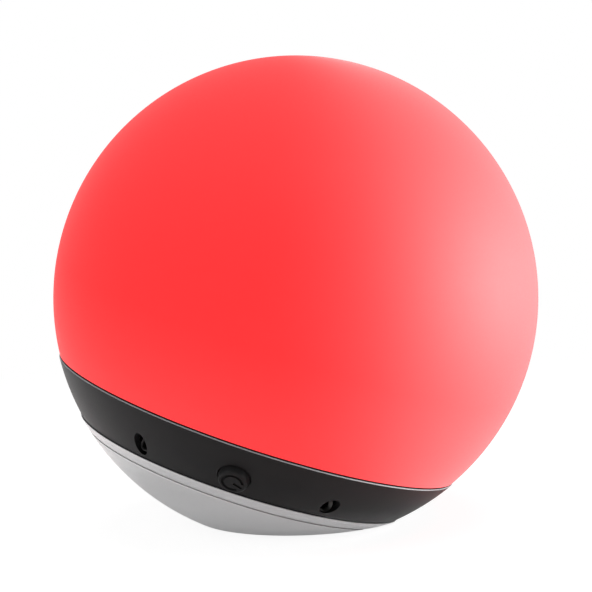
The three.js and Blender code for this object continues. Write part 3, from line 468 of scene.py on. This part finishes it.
def bowl_outline():
    """The bowl as a solid: a rim rounded in shares of its edge, and the ball with its groove."""
    latitude = math.asin(bowl_groove_drop / bowl_radius)
    half = bowl_groove_half / bowl_radius
    upper = bowl_radius * math.sin(latitude - half)
    lower = bowl_radius * math.sin(latitude + half)
    floor = bowl_radius - bowl_groove_depth
    rim = reach(bowl_radius, bowl_rim_drop)
    groove_shoulder = bowl_radius - groove_edge
    shoulder_drop = bowl_rim_drop + bowl_edge * shoulder_share
    return [
        (0, -bowl_rim_drop),
        *((rim - bowl_edge * inset, -bowl_rim_drop - bowl_edge * drop)
          for inset, drop in rim_round_shares),
        (reach(bowl_radius - shoulder_sunk, shoulder_drop), -shoulder_drop),
        *ball_arc(
            bowl_radius, -bowl_rim_drop - bowl_edge * ball_arc_share, groove_edge - upper, steps=4),
        *((size * math.cos(turn), -size * math.sin(turn)) for size, turn in (
            (groove_shoulder, latitude - half), (floor, latitude - half),
            (floor, latitude + half), (groove_shoulder, latitude + half))),
        *ball_arc(bowl_radius, -lower - groove_edge, -bowl_radius, steps=60),
    ]


def pad_solid(gap, bottom, top):
    """One curved foot pad, or its pocket, as a quarter-ring segment about the grille's axis."""
    mesh = bmesh.new()
    corners = [
        (pad_inner - gap, 0, bottom), (pad_outer + gap, 0, bottom),
        (pad_outer + gap, 0, top), (pad_inner - gap, 0, top),
    ]
    face = mesh.faces.new([mesh.verts.new(corner) for corner in corners])
    span = math.radians(pad_span) + 2 * gap / pad_inner
    start = Matrix.Rotation(-span / 2, 3, "Z")
    bmesh.ops.rotate(mesh, cent=(0, 0, 0), matrix=start, verts=mesh.verts)
    bmesh.ops.spin(
        mesh, geom=[*mesh.verts, *mesh.edges, face], cent=(0, 0, 0), axis=(0, 0, 1),
        angle=span, steps=24,
    )
    bmesh.ops.recalc_face_normals(mesh, faces=mesh.faces)
    return mesh


def under_ball(degrees=0.0):
    """The grille's upright axis, turned by an angle about itself."""
    turn = Matrix.Rotation(math.radians(degrees), 4, "Z")
    return Matrix.Translation((speaker_offset, 0, 0)) @ turn


def foot_shaver():
    """A level ring that rounds the edge between the ball and the flat underside."""
    slope = math.acos(flat_drop / bowl_radius)
    start = reach(bowl_radius, flat_drop) - foot_round * math.tan(slope / 2)
    turns = [slope * (k - foot_lead) / foot_steps for k in range(foot_steps + 2)]
    curve = [
        (start + foot_round * math.sin(turn), foot_round * (1 - math.cos(turn)) - flat_drop)
        for turn in turns
    ]
    just_below, past_floor, past_ball = 0.01, 1, 2
    curve[0] = (curve[0][0], -flat_drop - just_below)
    outer = curve[-1][0] + past_ball
    bottom = -flat_drop - past_floor
    return turned([*curve, (outer, curve[-1][1]), (outer, bottom), (start, bottom)])


bowl_inner = bowl_radius - bowl_wall
cavity_top = -bowl_rim_drop + cavity_rise
cavity = cut_level(
    turned([
        (0, cavity_top), (reach(bowl_inner, bowl_rim_drop - cavity_rise), cavity_top),
        *ball_arc(bowl_inner, cavity_top, -bowl_inner, steps=40),
    ], steps=180),
    flat_drop - floor_thickness,
)
lip_bottom, lip_top = -bowl_rim_drop - lip_root, -bowl_rim_drop + lip_rise
lip = cut_level(
    turned([
        (lip_inner, lip_bottom), (lip_outer, lip_bottom), (lip_outer, lip_top - lip_chamfer),
        (lip_outer - lip_chamfer, lip_top), (lip_inner, lip_top),
    ], steps=180),
    flat_drop - lip_gap,
)
sound_hole = drum(sound_hole_radius, -flat_drop - cut_below, -flat_drop + sound_hole_rise, sides=96)
grille_seat = drum(
    grille_radius + grille_gap, -flat_drop - cut_below, -flat_drop + grille_recess, sides=128)
foot_pockets = [
    moved(pad_solid(pad_gap, -flat_drop - cut_below, -flat_drop + pad_pocket),
          to_leaning @ under_ball(angle))
    for angle in pad_angles
]
bowl_cuts = [
    cavity,
    moved(foot_shaver(), to_leaning),
    moved(sound_hole, to_leaning @ under_ball()),
    moved(grille_seat, to_leaning @ under_ball()),
    *foot_pockets,
]
bowl_solid = cut_level(turned(bowl_outline(), steps=300), flat_drop)
bowl_mesh = carved(carved(bowl_solid, bowl_cuts), [lip], "UNION")

silver_lacquer, tree, shader = finish_of(
    "silver_lacquer", (0.73, 0.73, 0.735, 1), roughness=0.28, metallic=0.85)
grain = add_grain(tree, shader, grain_size=5200.0, depth=0.0000015, drift_size=18.0)
vary(tree, grain.outputs["Grain"], shader.inputs["Roughness"], 0.25, 0.31)
blend_colours(tree, grain.outputs["Grain"], shader.inputs["Base Color"],
              (0.7, 0.7, 0.705, 1), (0.76, 0.76, 0.765, 1))

# The reveal groove is coloured darker than the silver: painted shade in the groove
groove_painted_shade = grained_finish(
    "groove_painted_shade", (0.19, 0.19, 0.193, 1), roughness=0.5, rough_span=(0.45, 0.55),
    grain_size=3000.0, depth=0.000005,
)
deepest = bowl_radius - bowl_groove_depth - SLACK
shallowest = bowl_radius - groove_edge + SLACK
# The groove's floor and walls take the painted shade
for face in bowl_mesh.faces:
    corners = [corner.co for corner in face.verts]
    level_with_groove = all(
        abs(-corner.z - bowl_groove_drop) < bowl_groove_half for corner in corners)
    if level_with_groove and all(deepest < corner.length < shallowest for corner in corners):
        face.material_index = 1
bowl = fitted("bowl", bowl_mesh, leaning, silver_lacquer, "housing",
              ["base_bowl"])
bowl.data.materials.append(groove_painted_shade)


# ---------- Power button ----------
# A black moulded push cap that stands proud of the band. Its generic power mark, an open ring
# with a bar, is sunk into the top. A flange behind the wall keeps it in.
button_foot = 5.65
button_top = 5.2
button_proud = 2.4
button_round = 0.75
flange_radius = 6.5
flange_top = -3.14
flange_thickness = 0.8
stem_radius = 1.6
stem_length = 0.5
mark_radius = 3.5
mark_width = 0.92
mark_depth = 0.42
mark_taper = 0.4
mark_cut_rise = 0.2
mark_bar_widening = 1.1
mark_bar_height = 0.8
mark_bar_shift = 0.4
mark_gap = math.radians(64)
mark_turn = math.radians(-22)


def button_outline():
    """The cap's half section, from the middle of its top down to the end of its stem."""
    corner = button_top - button_round
    steps = 6
    turns = [math.pi / 2 * (1 - k / steps) for k in range(steps + 1)]
    stem_end = flange_top - flange_thickness - stem_length
    return [
        (0, button_proud),
        *((corner + button_round * math.cos(turn),
           button_proud - button_round * (1 - math.sin(turn))) for turn in turns),
        (button_foot, 0),
        (button_foot, flange_top),
        (flange_radius, flange_top),
        (flange_radius, flange_top - flange_thickness),
        (stem_radius, flange_top - flange_thickness),
        (stem_radius, stem_end),
        (0, stem_end),
    ]


def mark_ring():
    """The open ring of the power mark, as a cutter with sloping sides."""
    mesh = bmesh.new()
    narrow = mark_width / 2 * (1 - mark_taper)
    wide = mark_width / 2 * (1 + mark_taper)
    low, high = button_proud - mark_depth, button_proud + mark_cut_rise
    corners = [
        (mark_radius - narrow, 0, low), (mark_radius + narrow, 0, low),
        (mark_radius + wide, 0, high), (mark_radius - wide, 0, high),
    ]
    face = mesh.faces.new([mesh.verts.new(corner) for corner in corners])
    start = Matrix.Rotation(mark_turn + mark_gap / 2, 3, "Z")
    bmesh.ops.rotate(mesh, cent=(0, 0, 0), matrix=start, verts=mesh.verts)
    bmesh.ops.spin(
        mesh, geom=[*mesh.verts, *mesh.edges, face], cent=(0, 0, 0), axis=(0, 0, 1),
        angle=math.tau - mark_gap, steps=72,
    )
    bmesh.ops.recalc_face_normals(mesh, faces=mesh.faces)
    return mesh


def mark_bar():
    """The bar of the power mark, as a cutter that runs from near the middle into the gap."""
    mesh = bmesh.new()
    bmesh.ops.create_cube(mesh, size=1)
    size = (mark_radius, mark_width * mark_bar_widening, mark_bar_height)
    bmesh.ops.scale(mesh, vec=size, verts=mesh.verts)
    middle = button_proud - mark_depth + mark_bar_height / 2
    bmesh.ops.translate(mesh, vec=(mark_radius / 2 + mark_bar_shift, 0, middle), verts=mesh.verts)
    return moved(mesh, Matrix.Rotation(mark_turn, 4, "Z"))


button_mesh = carved(turned(button_outline(), steps=96), [mark_ring(), mark_bar()])
mark_black = grained_finish(
    "mark_black", (0.003, 0.003, 0.003, 1), roughness=0.6, rough_span=(0.55, 0.65),
    grain_size=3000.0, depth=0.000005, specular=0.1,
)
for face in button_mesh.faces:
    middle = face.calc_center_median()
    sunk = button_proud - mark_depth - SLACK / 2 < middle.z < button_proud - SLACK / 2
    if sunk and math.hypot(middle.x, middle.y) < button_top - button_round:
        face.material_index = 1
power_cap = fitted("power_cap", moved(button_mesh, button_place), leaning, satin_black, "button",
                   ["power_button"])
power_cap.data.materials.append(mark_black)


# ---------- Sockets ----------
# Left, the power inlet: black plastic with a plated pin. Right, the audio socket: a plated sleeve
# in black plastic, its plating made dark as painted shade inside the hole. Their round faces lie a
# little below the band's surface.
socket_face = 64.58
socket_back = 60.36
inlet_nose_radius = 2.4
inlet_nose_root = 1
inlet_nose_chamfer = 0.2
inlet_bore = 1.8
inlet_flare = 0.3
inlet_depth = 7.0
pin_radius = 0.65
pin_length = 6.2
pin_chamfer = 0.3
pin_gap = 0.3
audio_nose_radius = 2.95
sleeve_gap = 0.3
sleeve_chamfer = 0.15
sleeve_mouth = 0.9
audio_bore = 1.8
audio_depth = 11.0
socket_length = 12.0
socket_width = 7.0
socket_height = 6.2
socket_edge = 0.3
cut_above = 1


def socket_box():
    """The rounded body of a socket, lying along its bore behind the band."""
    mesh = bmesh.new()
    bmesh.ops.create_cube(mesh, size=1)
    bmesh.ops.scale(mesh, vec=(socket_height, socket_width, socket_length), verts=mesh.verts)
    bmesh.ops.translate(mesh, vec=(0, 0, socket_back - socket_length / 2), verts=mesh.verts)
    return soften(mesh, socket_edge)


black_plastic = grained_finish(
    "black_plastic", (0.02, 0.02, 0.02, 1), roughness=0.5, rough_span=(0.45, 0.56),
    grain_size=3000.0, depth=0.00001,
)

nickel = grained_finish(
    "nickel", (0.66, 0.65, 0.62, 1), roughness=0.25, rough_span=(0.2, 0.32),
    grain_size=1800.0, depth=0.000004, metallic=1.0,
)

# Plated metal, made dark: painted shade on the sleeve inside the socket
nickel_with_painted_shade = grained_finish(
    "nickel_with_painted_shade", (0.05, 0.05, 0.048, 1), roughness=0.3, rough_span=(0.25, 0.36),
    grain_size=1800.0, depth=0.000004, metallic=1.0,
)

inlet_nose = turned([
    (0, socket_back - inlet_nose_root), (inlet_nose_radius, socket_back - inlet_nose_root),
    (inlet_nose_radius, socket_face - inlet_nose_chamfer),
    (inlet_nose_radius - inlet_nose_chamfer, socket_face), (0, socket_face),
], steps=64)
inlet_hole = turned([
    (0, socket_face - inlet_depth), (inlet_bore, socket_face - inlet_depth),
    (inlet_bore, socket_face - inlet_flare), (inlet_bore + inlet_flare, socket_face),
    (inlet_bore + inlet_flare, socket_face + cut_above), (0, socket_face + cut_above),
], steps=64)
inlet_mesh = carved(carved(socket_box(), [inlet_nose], "UNION"), [inlet_hole])
fitted("power_inlet", moved(inlet_mesh, port_place(-1)), leaning, black_plastic, "housing",
       ["dc_jack"])

pin_bottom = socket_face - inlet_depth + pin_gap
pin_top = pin_bottom + pin_length
pin_mesh = turned([
    (0, pin_bottom), (pin_radius, pin_bottom), (pin_radius, pin_top - pin_chamfer),
    (pin_radius - pin_chamfer, pin_top), (0, pin_top),
], steps=32)
fitted("inlet_pin", moved(pin_mesh, port_place(-1)), leaning, nickel, "housing",
       ["dc_pin"])

audio_hole = drum(audio_bore, socket_face - audio_depth, socket_face + cut_above)
fitted("audio_socket", moved(carved(socket_box(), [audio_hole]), port_place(1)), leaning,
       black_plastic, "housing", ["aux_jack"])
sleeve_mesh = turned([
    (audio_bore, socket_back + sleeve_gap), (audio_nose_radius, socket_back + sleeve_gap),
    (audio_nose_radius, socket_face - sleeve_chamfer),
    (audio_nose_radius - sleeve_chamfer, socket_face), (audio_bore, socket_face - sleeve_mouth),
], steps=64)
audio_sleeve = fitted("audio_sleeve", moved(sleeve_mesh, port_place(1)), leaning, nickel_with_painted_shade,
                      "housing", ["aux_sleeve"])


# ---------- Grille and foot pads ----------
# A punched plate lies in the underside below the loudspeaker, painted black like the band.
# Four curved rubber pads stand out by a millimetre and carry the lamp.
grille_thickness = 0.8
grille_edge = 0.15
punch_length = 4
hole_radius = 1.8
hole_pitch = 5.2
hole_rows = 3
pad_proud = 1.0
pad_thickness = 1.7
pad_edge = 0.25
plate_top = -flat_drop + grille_recess - grille_gap


def hole_places():
    """The middles of the holes, in rows set half a pitch apart that fill a hexagon."""
    for row in range(-hole_rows, hole_rows + 1):
        count = 2 * hole_rows + 1 - abs(row)
        for k in range(count):
            yield (k - (count - 1) / 2) * hole_pitch, row * hole_pitch * math.sqrt(3) / 2


punches = bmesh.new()
for x, y in hole_places():
    bmesh.ops.create_cone(
        punches, cap_ends=True, segments=28, radius1=hole_radius, radius2=hole_radius,
        depth=punch_length, matrix=Matrix.Translation((x, y, plate_top)),
    )
plate_disc = drum(grille_radius, plate_top - grille_thickness, plate_top, sides=144)
plate_mesh = carved(soften(plate_disc, grille_edge), [punches])
fitted("grille", moved(plate_mesh, under_ball()), level, satin_black, "housing",
       ["grille_plate"])

soft_rubber = grained_finish(
    "soft_rubber", (0.018, 0.018, 0.018, 1), roughness=0.78, rough_span=(0.7, 0.85),
    grain_size=2200.0, depth=0.00003, specular=0.3,
)

for number, angle in enumerate(pad_angles, start=1):
    pad = pad_solid(0, -flat_drop - pad_proud, -flat_drop - pad_proud + pad_thickness)
    fitted(f"rubber_foot_{number}", moved(soften(pad, pad_edge), under_ball(angle)), level,
           soft_rubber, "housing", [f"foot_pad_{number}"])


# ---------- Surround and spider ----------
# The loudspeaker's two soft rings. A pressed rubber roll joins the cone's edge to the basket, and
# a corrugated disc of resined cloth centres the coil. The outer foot of each is glued to the
# basket and the inner foot meets the cone; both rings are placed at rest.
soft_gap = 0.3
roll_thickness = 0.7
roll_bend = 1.8
cloth_thickness = 0.5
cloth_waves = 3
cloth_wave_height = 0.225


def girth(node):
    """A round node's outer radius in millimetres."""
    low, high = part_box(node)
    return (high.x - low.x) / 2 / MILLIMETRE


def soft_ring(name, node, outline, finish):
    """Spins a soft ring from its outline in its node's place, between the basket and the cone."""
    low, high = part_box(node)
    middle = Vector(((low.x + high.x) / 2, (low.y + high.y) / 2, low.z))
    place = Matrix.Translation(middle) @ Matrix.Scale(MILLIMETRE, 4)
    ring = as_object(name, moved(turned(outline, steps=96), place))
    ring.data.materials.append(finish)
    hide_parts(node)
    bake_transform(ring)


def roll_outline():
    """The rubber roll: a flat inner foot, a quarter bend, and an upright outer foot."""
    low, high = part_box("surround")
    top = (high.z - low.z) / MILLIMETRE
    outer = girth("surround")
    steps = 8
    turns = [math.pi / 2 * k / steps for k in range(steps + 1)]

    def bend(radius):
        return [
            (outer - roll_bend + radius * math.sin(turn), roll_bend - radius * math.cos(turn))
            for turn in turns
        ]

    inner = girth("cone") + soft_gap
    return [
        (inner, roll_thickness), (inner, 0), *bend(roll_bend), (outer, top),
        (outer - roll_thickness, top), *reversed(bend(roll_bend - roll_thickness)),
    ]


def cloth_outline():
    """The cloth disc: waves that die out at both feet, rising from the coil to the basket."""
    low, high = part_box("spider")
    inner, outer = girth("voice_coil") + soft_gap, girth("spider")
    rise = (high.z - low.z) / MILLIMETRE - cloth_thickness
    steps_per_wave = 12
    steps = steps_per_wave * cloth_waves

    def sheet(lift):
        points = []
        for k in range(steps + 1):
            share = k / steps
            fade = min(1, 2 * cloth_waves * share, 2 * cloth_waves * (1 - share))
            wave = cloth_wave_height * fade * math.cos(math.tau * cloth_waves * share)
            points.append((inner + (outer - inner) * share, lift + rise * share + wave))
        return points

    return [*sheet(0), *reversed(sheet(cloth_thickness))]


cloth, tree, shader = finish_of("resin_cloth", (0.4, 0.22, 0.07, 1), roughness=0.8)
weave = tree.nodes.new("ShaderNodeTexWave")
weave.inputs["Scale"].default_value = 900.0
place_node = tree.nodes.new("ShaderNodeTexCoord")
tree.links.new(place_node.outputs["Object"], weave.inputs["Vector"])
blend_colours(tree, weave.outputs["Fac"], shader.inputs["Base Color"],
              (0.3, 0.15, 0.05, 1), (0.48, 0.28, 0.1, 1))

soft_ring("rubber_roll", "surround", roll_outline(), soft_rubber)
soft_ring("cloth_disc", "spider", cloth_outline(), cloth)


# ---------- Inner pieces ----------
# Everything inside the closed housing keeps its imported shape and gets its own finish.


def dress(finish, *nodes):
    """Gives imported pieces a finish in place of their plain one."""
    for node in nodes:
        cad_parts[node].material_slots[0].material = finish


white_plastic = grained_finish(
    "white_plastic", (0.82, 0.82, 0.8, 1), roughness=0.5, rough_span=(0.45, 0.55),
    grain_size=2400.0, depth=0.000012,
)

lamp_white, tree, shader = finish_of("lamp_white", (0.9, 0.85, 0.6, 1), roughness=0.35)
shader.inputs["Emission Color"].default_value = (1.0, 0.2, 0.15, 1)
shader.inputs["Emission Strength"].default_value = 1.0
grain = add_grain(tree, shader, grain_size=3000.0, depth=0.000005)
vary(tree, grain.outputs["Grain"], shader.inputs["Roughness"], 0.3, 0.4)

circuit_board, tree, shader = finish_of("circuit_board", (0.014, 0.1, 0.037, 1), roughness=0.4)
grain = add_grain(tree, shader, grain_size=700.0, depth=0.00002)
blend_colours(tree, grain.outputs["Grain"], shader.inputs["Base Color"],
              (0.012, 0.09, 0.033, 1), (0.022, 0.135, 0.05, 1))

screw_zinc = grained_finish(
    "screw_zinc", (0.5, 0.5, 0.52, 1), roughness=0.35, rough_span=(0.28, 0.42),
    grain_size=1600.0, depth=0.00001, metallic=1.0,
)

dark_steel = grained_finish(
    "dark_steel", (0.09, 0.095, 0.1, 1), roughness=0.42, rough_span=(0.36, 0.5),
    grain_size=1400.0, depth=0.00001, metallic=1.0,
)

ferrite = grained_finish(
    "ferrite", (0.022, 0.022, 0.024, 1), roughness=0.7, rough_span=(0.6, 0.8),
    grain_size=1000.0, depth=0.00004,
)

copper_wire, tree, shader = finish_of(
    "copper_wire", (0.4, 0.12, 0.03, 1), roughness=0.35, metallic=1.0)
windings = tree.nodes.new("ShaderNodeTexWave")
windings.wave_type = "BANDS"
windings.bands_direction = "Z"
windings.inputs["Scale"].default_value = 1100.0
place_node = tree.nodes.new("ShaderNodeTexCoord")
relief = tree.nodes.new("ShaderNodeBump")
relief.inputs["Distance"].default_value = 0.00005
tree.links.new(place_node.outputs["Object"], windings.inputs["Vector"])
tree.links.new(windings.outputs["Fac"], relief.inputs["Height"])
tree.links.new(relief.outputs["Normal"], shader.inputs["Normal"])
blend_colours(tree, windings.outputs["Fac"], shader.inputs["Base Color"],
              (0.3, 0.08, 0.02, 1), (0.45, 0.15, 0.04, 1))

paper, tree, shader = finish_of("black_paper", (0.014, 0.014, 0.016, 1), roughness=0.9)
grain = add_grain(tree, shader, grain_size=900.0, depth=0.00006)
blend_colours(tree, grain.outputs["Grain"], shader.inputs["Base Color"],
              (0.012, 0.012, 0.013, 1), (0.03, 0.03, 0.032, 1))

blue_sleeve = grained_finish(
    "blue_sleeve", (0.03, 0.16, 0.46, 1), roughness=0.4, rough_span=(0.32, 0.5),
    grain_size=500.0, depth=0.00002,
)

dress(soft_rubber, "globe_seal", "speaker_gasket")
dress(white_plastic, "light_deck", "led_board")
dress(lamp_white, *(f"led_{k}" for k in range(1, 9)))
dress(circuit_board, "main_board", "switch_board")
dress(black_plastic, "switch_plunger", "amplifier_chip", "battery_strap")
dress(nickel, "bluetooth_module", "capacitor")
dress(dark_steel, "switch_body", "speaker_frame", "top_plate", "back_plate")
dress(ferrite, "magnet")
dress(copper_wire, "voice_coil")
dress(paper, "cone", "dust_cap")
dress(blue_sleeve, "battery_cell")
dress(screw_zinc, *(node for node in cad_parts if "_screw_" in node))


# ---------- Table, lights and camera ----------
# A plain white table in a white room, under soft lamps at the right, over the left and above. Two
# low lamps at the right make the sheens: a strip that shows only as a reflection in the black band
# and the audio sleeve, and a lamp that lights the globe alone.
def any_ray(tree, *kinds):
    """A flag that is set for a ray of any of the kinds named."""
    path = tree.nodes.new("ShaderNodeLightPath")
    flag = path.outputs[kinds[0]]
    for kind in kinds[1:]:
        larger = tree.nodes.new("ShaderNodeMath")
        larger.operation = "MAXIMUM"
        tree.links.new(flag, larger.inputs[0])
        tree.links.new(path.outputs[kind], larger.inputs[1])
        flag = larger.outputs[0]
    return flag


def white_table_finish(name, glow, shade, mirrored_glow):
    """A table that turns to even white away from the object, and keeps its shadow near it."""
    fade_start, fade_end = 0.15, 0.5
    finish = bpy.data.materials.new(name)
    finish.use_nodes = True
    tree = finish.node_tree
    tree.nodes.clear()
    camera_ray = any_ray(tree, "Is Camera Ray")
    mirrored_ray = any_ray(tree, "Is Glossy Ray", "Is Transmission Ray")
    plain = tree.nodes.new("ShaderNodeBsdfDiffuse")
    plain.inputs["Color"].default_value = (0.9, 0.9, 0.9, 1)
    shaded = tree.nodes.new("ShaderNodeBsdfDiffuse")
    shaded.inputs["Color"].default_value = (shade, shade, shade, 1)
    white, faint, backdrop = (tree.nodes.new("ShaderNodeEmission") for _ in range(3))
    for emission, strength in ((white, glow), (faint, mirrored_glow), (backdrop, 1.0)):
        emission.inputs["Color"].default_value = (1, 1, 1, 1)
        emission.inputs["Strength"].default_value = strength
    place = tree.nodes.new("ShaderNodeTexCoord")
    away = tree.nodes.new("ShaderNodeVectorMath")
    away.operation = "LENGTH"
    fade = tree.nodes.new("ShaderNodeMapRange")
    fade.interpolation_type = "SMOOTHSTEP"
    fade.inputs["From Min"].default_value = fade_start
    fade.inputs["From Max"].default_value = fade_end
    seen, mirrored = (tree.nodes.new("ShaderNodeAddShader") for _ in range(2))
    lit_or_mirrored, faded, whole = (tree.nodes.new("ShaderNodeMixShader") for _ in range(3))
    end = tree.nodes.new("ShaderNodeOutputMaterial")
    tree.links.new(shaded.outputs[0], seen.inputs[0])
    tree.links.new(white.outputs[0], seen.inputs[1])
    tree.links.new(plain.outputs[0], mirrored.inputs[0])
    tree.links.new(faint.outputs[0], mirrored.inputs[1])
    tree.links.new(mirrored_ray, lit_or_mirrored.inputs[0])
    tree.links.new(plain.outputs[0], lit_or_mirrored.inputs[1])
    tree.links.new(mirrored.outputs[0], lit_or_mirrored.inputs[2])
    tree.links.new(camera_ray, whole.inputs[0])
    tree.links.new(lit_or_mirrored.outputs[0], whole.inputs[1])
    tree.links.new(place.outputs["Object"], away.inputs[0])
    tree.links.new(away.outputs["Value"], fade.inputs["Value"])
    tree.links.new(fade.outputs["Result"], faded.inputs[0])
    tree.links.new(seen.outputs[0], faded.inputs[1])
    tree.links.new(backdrop.outputs[0], faded.inputs[2])
    tree.links.new(faded.outputs[0], whole.inputs[2])
    tree.links.new(whole.outputs[0], end.inputs["Surface"])
    return finish


table_mesh = bmesh.new()
bmesh.ops.create_grid(table_mesh, x_segments=1, y_segments=1, size=20)
table = as_object("table", table_mesh)
table.data.materials.append(
    white_table_finish("white_table", glow=0.9, shade=0.2, mirrored_glow=0.15))

surroundings = bpy.data.worlds.new("studio")
bpy.context.scene.world = surroundings
surroundings.use_nodes = True
tree = surroundings.node_tree
tree.nodes.clear()
plainly_seen = any_ray(tree, "Is Camera Ray", "Is Glossy Ray", "Is Transmission Ray")
room, white = (tree.nodes.new("ShaderNodeBackground") for _ in range(2))
for backdrop, strength in ((room, 0.2), (white, 1.0)):
    backdrop.inputs["Color"].default_value = (1, 1, 1, 1)
    backdrop.inputs["Strength"].default_value = strength
mix = tree.nodes.new("ShaderNodeMixShader")
end = tree.nodes.new("ShaderNodeOutputWorld")
tree.links.new(plainly_seen, mix.inputs[0])
tree.links.new(room.outputs[0], mix.inputs[1])
tree.links.new(white.outputs[0], mix.inputs[2])
tree.links.new(mix.outputs[0], end.inputs["Surface"])


def soft_lamp(name, place, width, height, watts):
    """A rectangular lamp that faces the ball's centre."""
    data = bpy.data.lights.new(name, "AREA")
    data.shape = "RECTANGLE"
    data.size = width
    data.size_y = height
    data.energy = watts
    lamp = bpy.data.objects.new(name, data)
    lamp.location = place
    lamp.rotation_euler = (ball_centre - Vector(place)).to_track_quat("-Z", "Y").to_euler()
    bpy.context.scene.collection.objects.link(lamp)
    return lamp


def shines_on(lamp, name, *pieces):
    """Lets a lamp light some pieces only."""
    receivers = bpy.data.collections.new(name)
    for piece in pieces:
        receivers.objects.link(piece)
    lamp.light_linking.receiver_collection = receivers


soft_lamp("right_lamp", (1.15, -0.15, 0.3), width=0.7, height=1.2, watts=9)
soft_lamp("left_lamp", (-0.9, -0.6, 0.9), width=0.9, height=0.9, watts=3)
top_lamp = soft_lamp("top_lamp", (0.1, 0, 1.5), width=1.2, height=1.2, watts=18)
top_lamp.visible_glossy = False
reflected_strip = soft_lamp(
    "reflected_strip", (1.2, -0.02, 0.12), width=0.64, height=0.26, watts=176)
reflected_strip.visible_diffuse = False
globe_lamp = soft_lamp("globe_lamp", (0.95, 0.06, 0.03), width=0.5, height=0.4, watts=62)
shines_on(globe_lamp, "seen_by_globe_lamp", globe)
shines_on(reflected_strip, "seen_by_strip", band, audio_sleeve)

# The camera stands a little higher than the ball's middle
camera_distance = 8 * globe_radius * MILLIMETRE
camera_turn = math.radians(2.56)
camera_height = math.radians(4.96)
camera_roll = math.radians(2.05)
backward = Vector((
    math.sin(camera_turn) * math.cos(camera_height),
    -math.cos(camera_turn) * math.cos(camera_height),
    math.sin(camera_height),
))
sideways = Vector((math.cos(camera_turn), math.sin(camera_turn), 0))
upward = backward.cross(sideways)
right = math.cos(camera_roll) * sideways - math.sin(camera_roll) * upward
up = math.sin(camera_roll) * sideways + math.cos(camera_roll) * upward
lens = bpy.data.cameras.new("camera")
lens.lens = 117.1
lens.sensor_width = 36
lens.shift_x = 0.0003
lens.shift_y = 0.0032
lens.clip_end = 60
camera = bpy.data.objects.new("camera", lens)
camera_frame = Matrix((right, up, backward)).transposed().to_4x4()
camera.matrix_world = Matrix.Translation(ball_centre + backward * camera_distance) @ camera_frame
bpy.context.scene.collection.objects.link(camera)
bpy.context.scene.camera = camera
bpy.context.scene.view_settings.view_transform = "Standard"
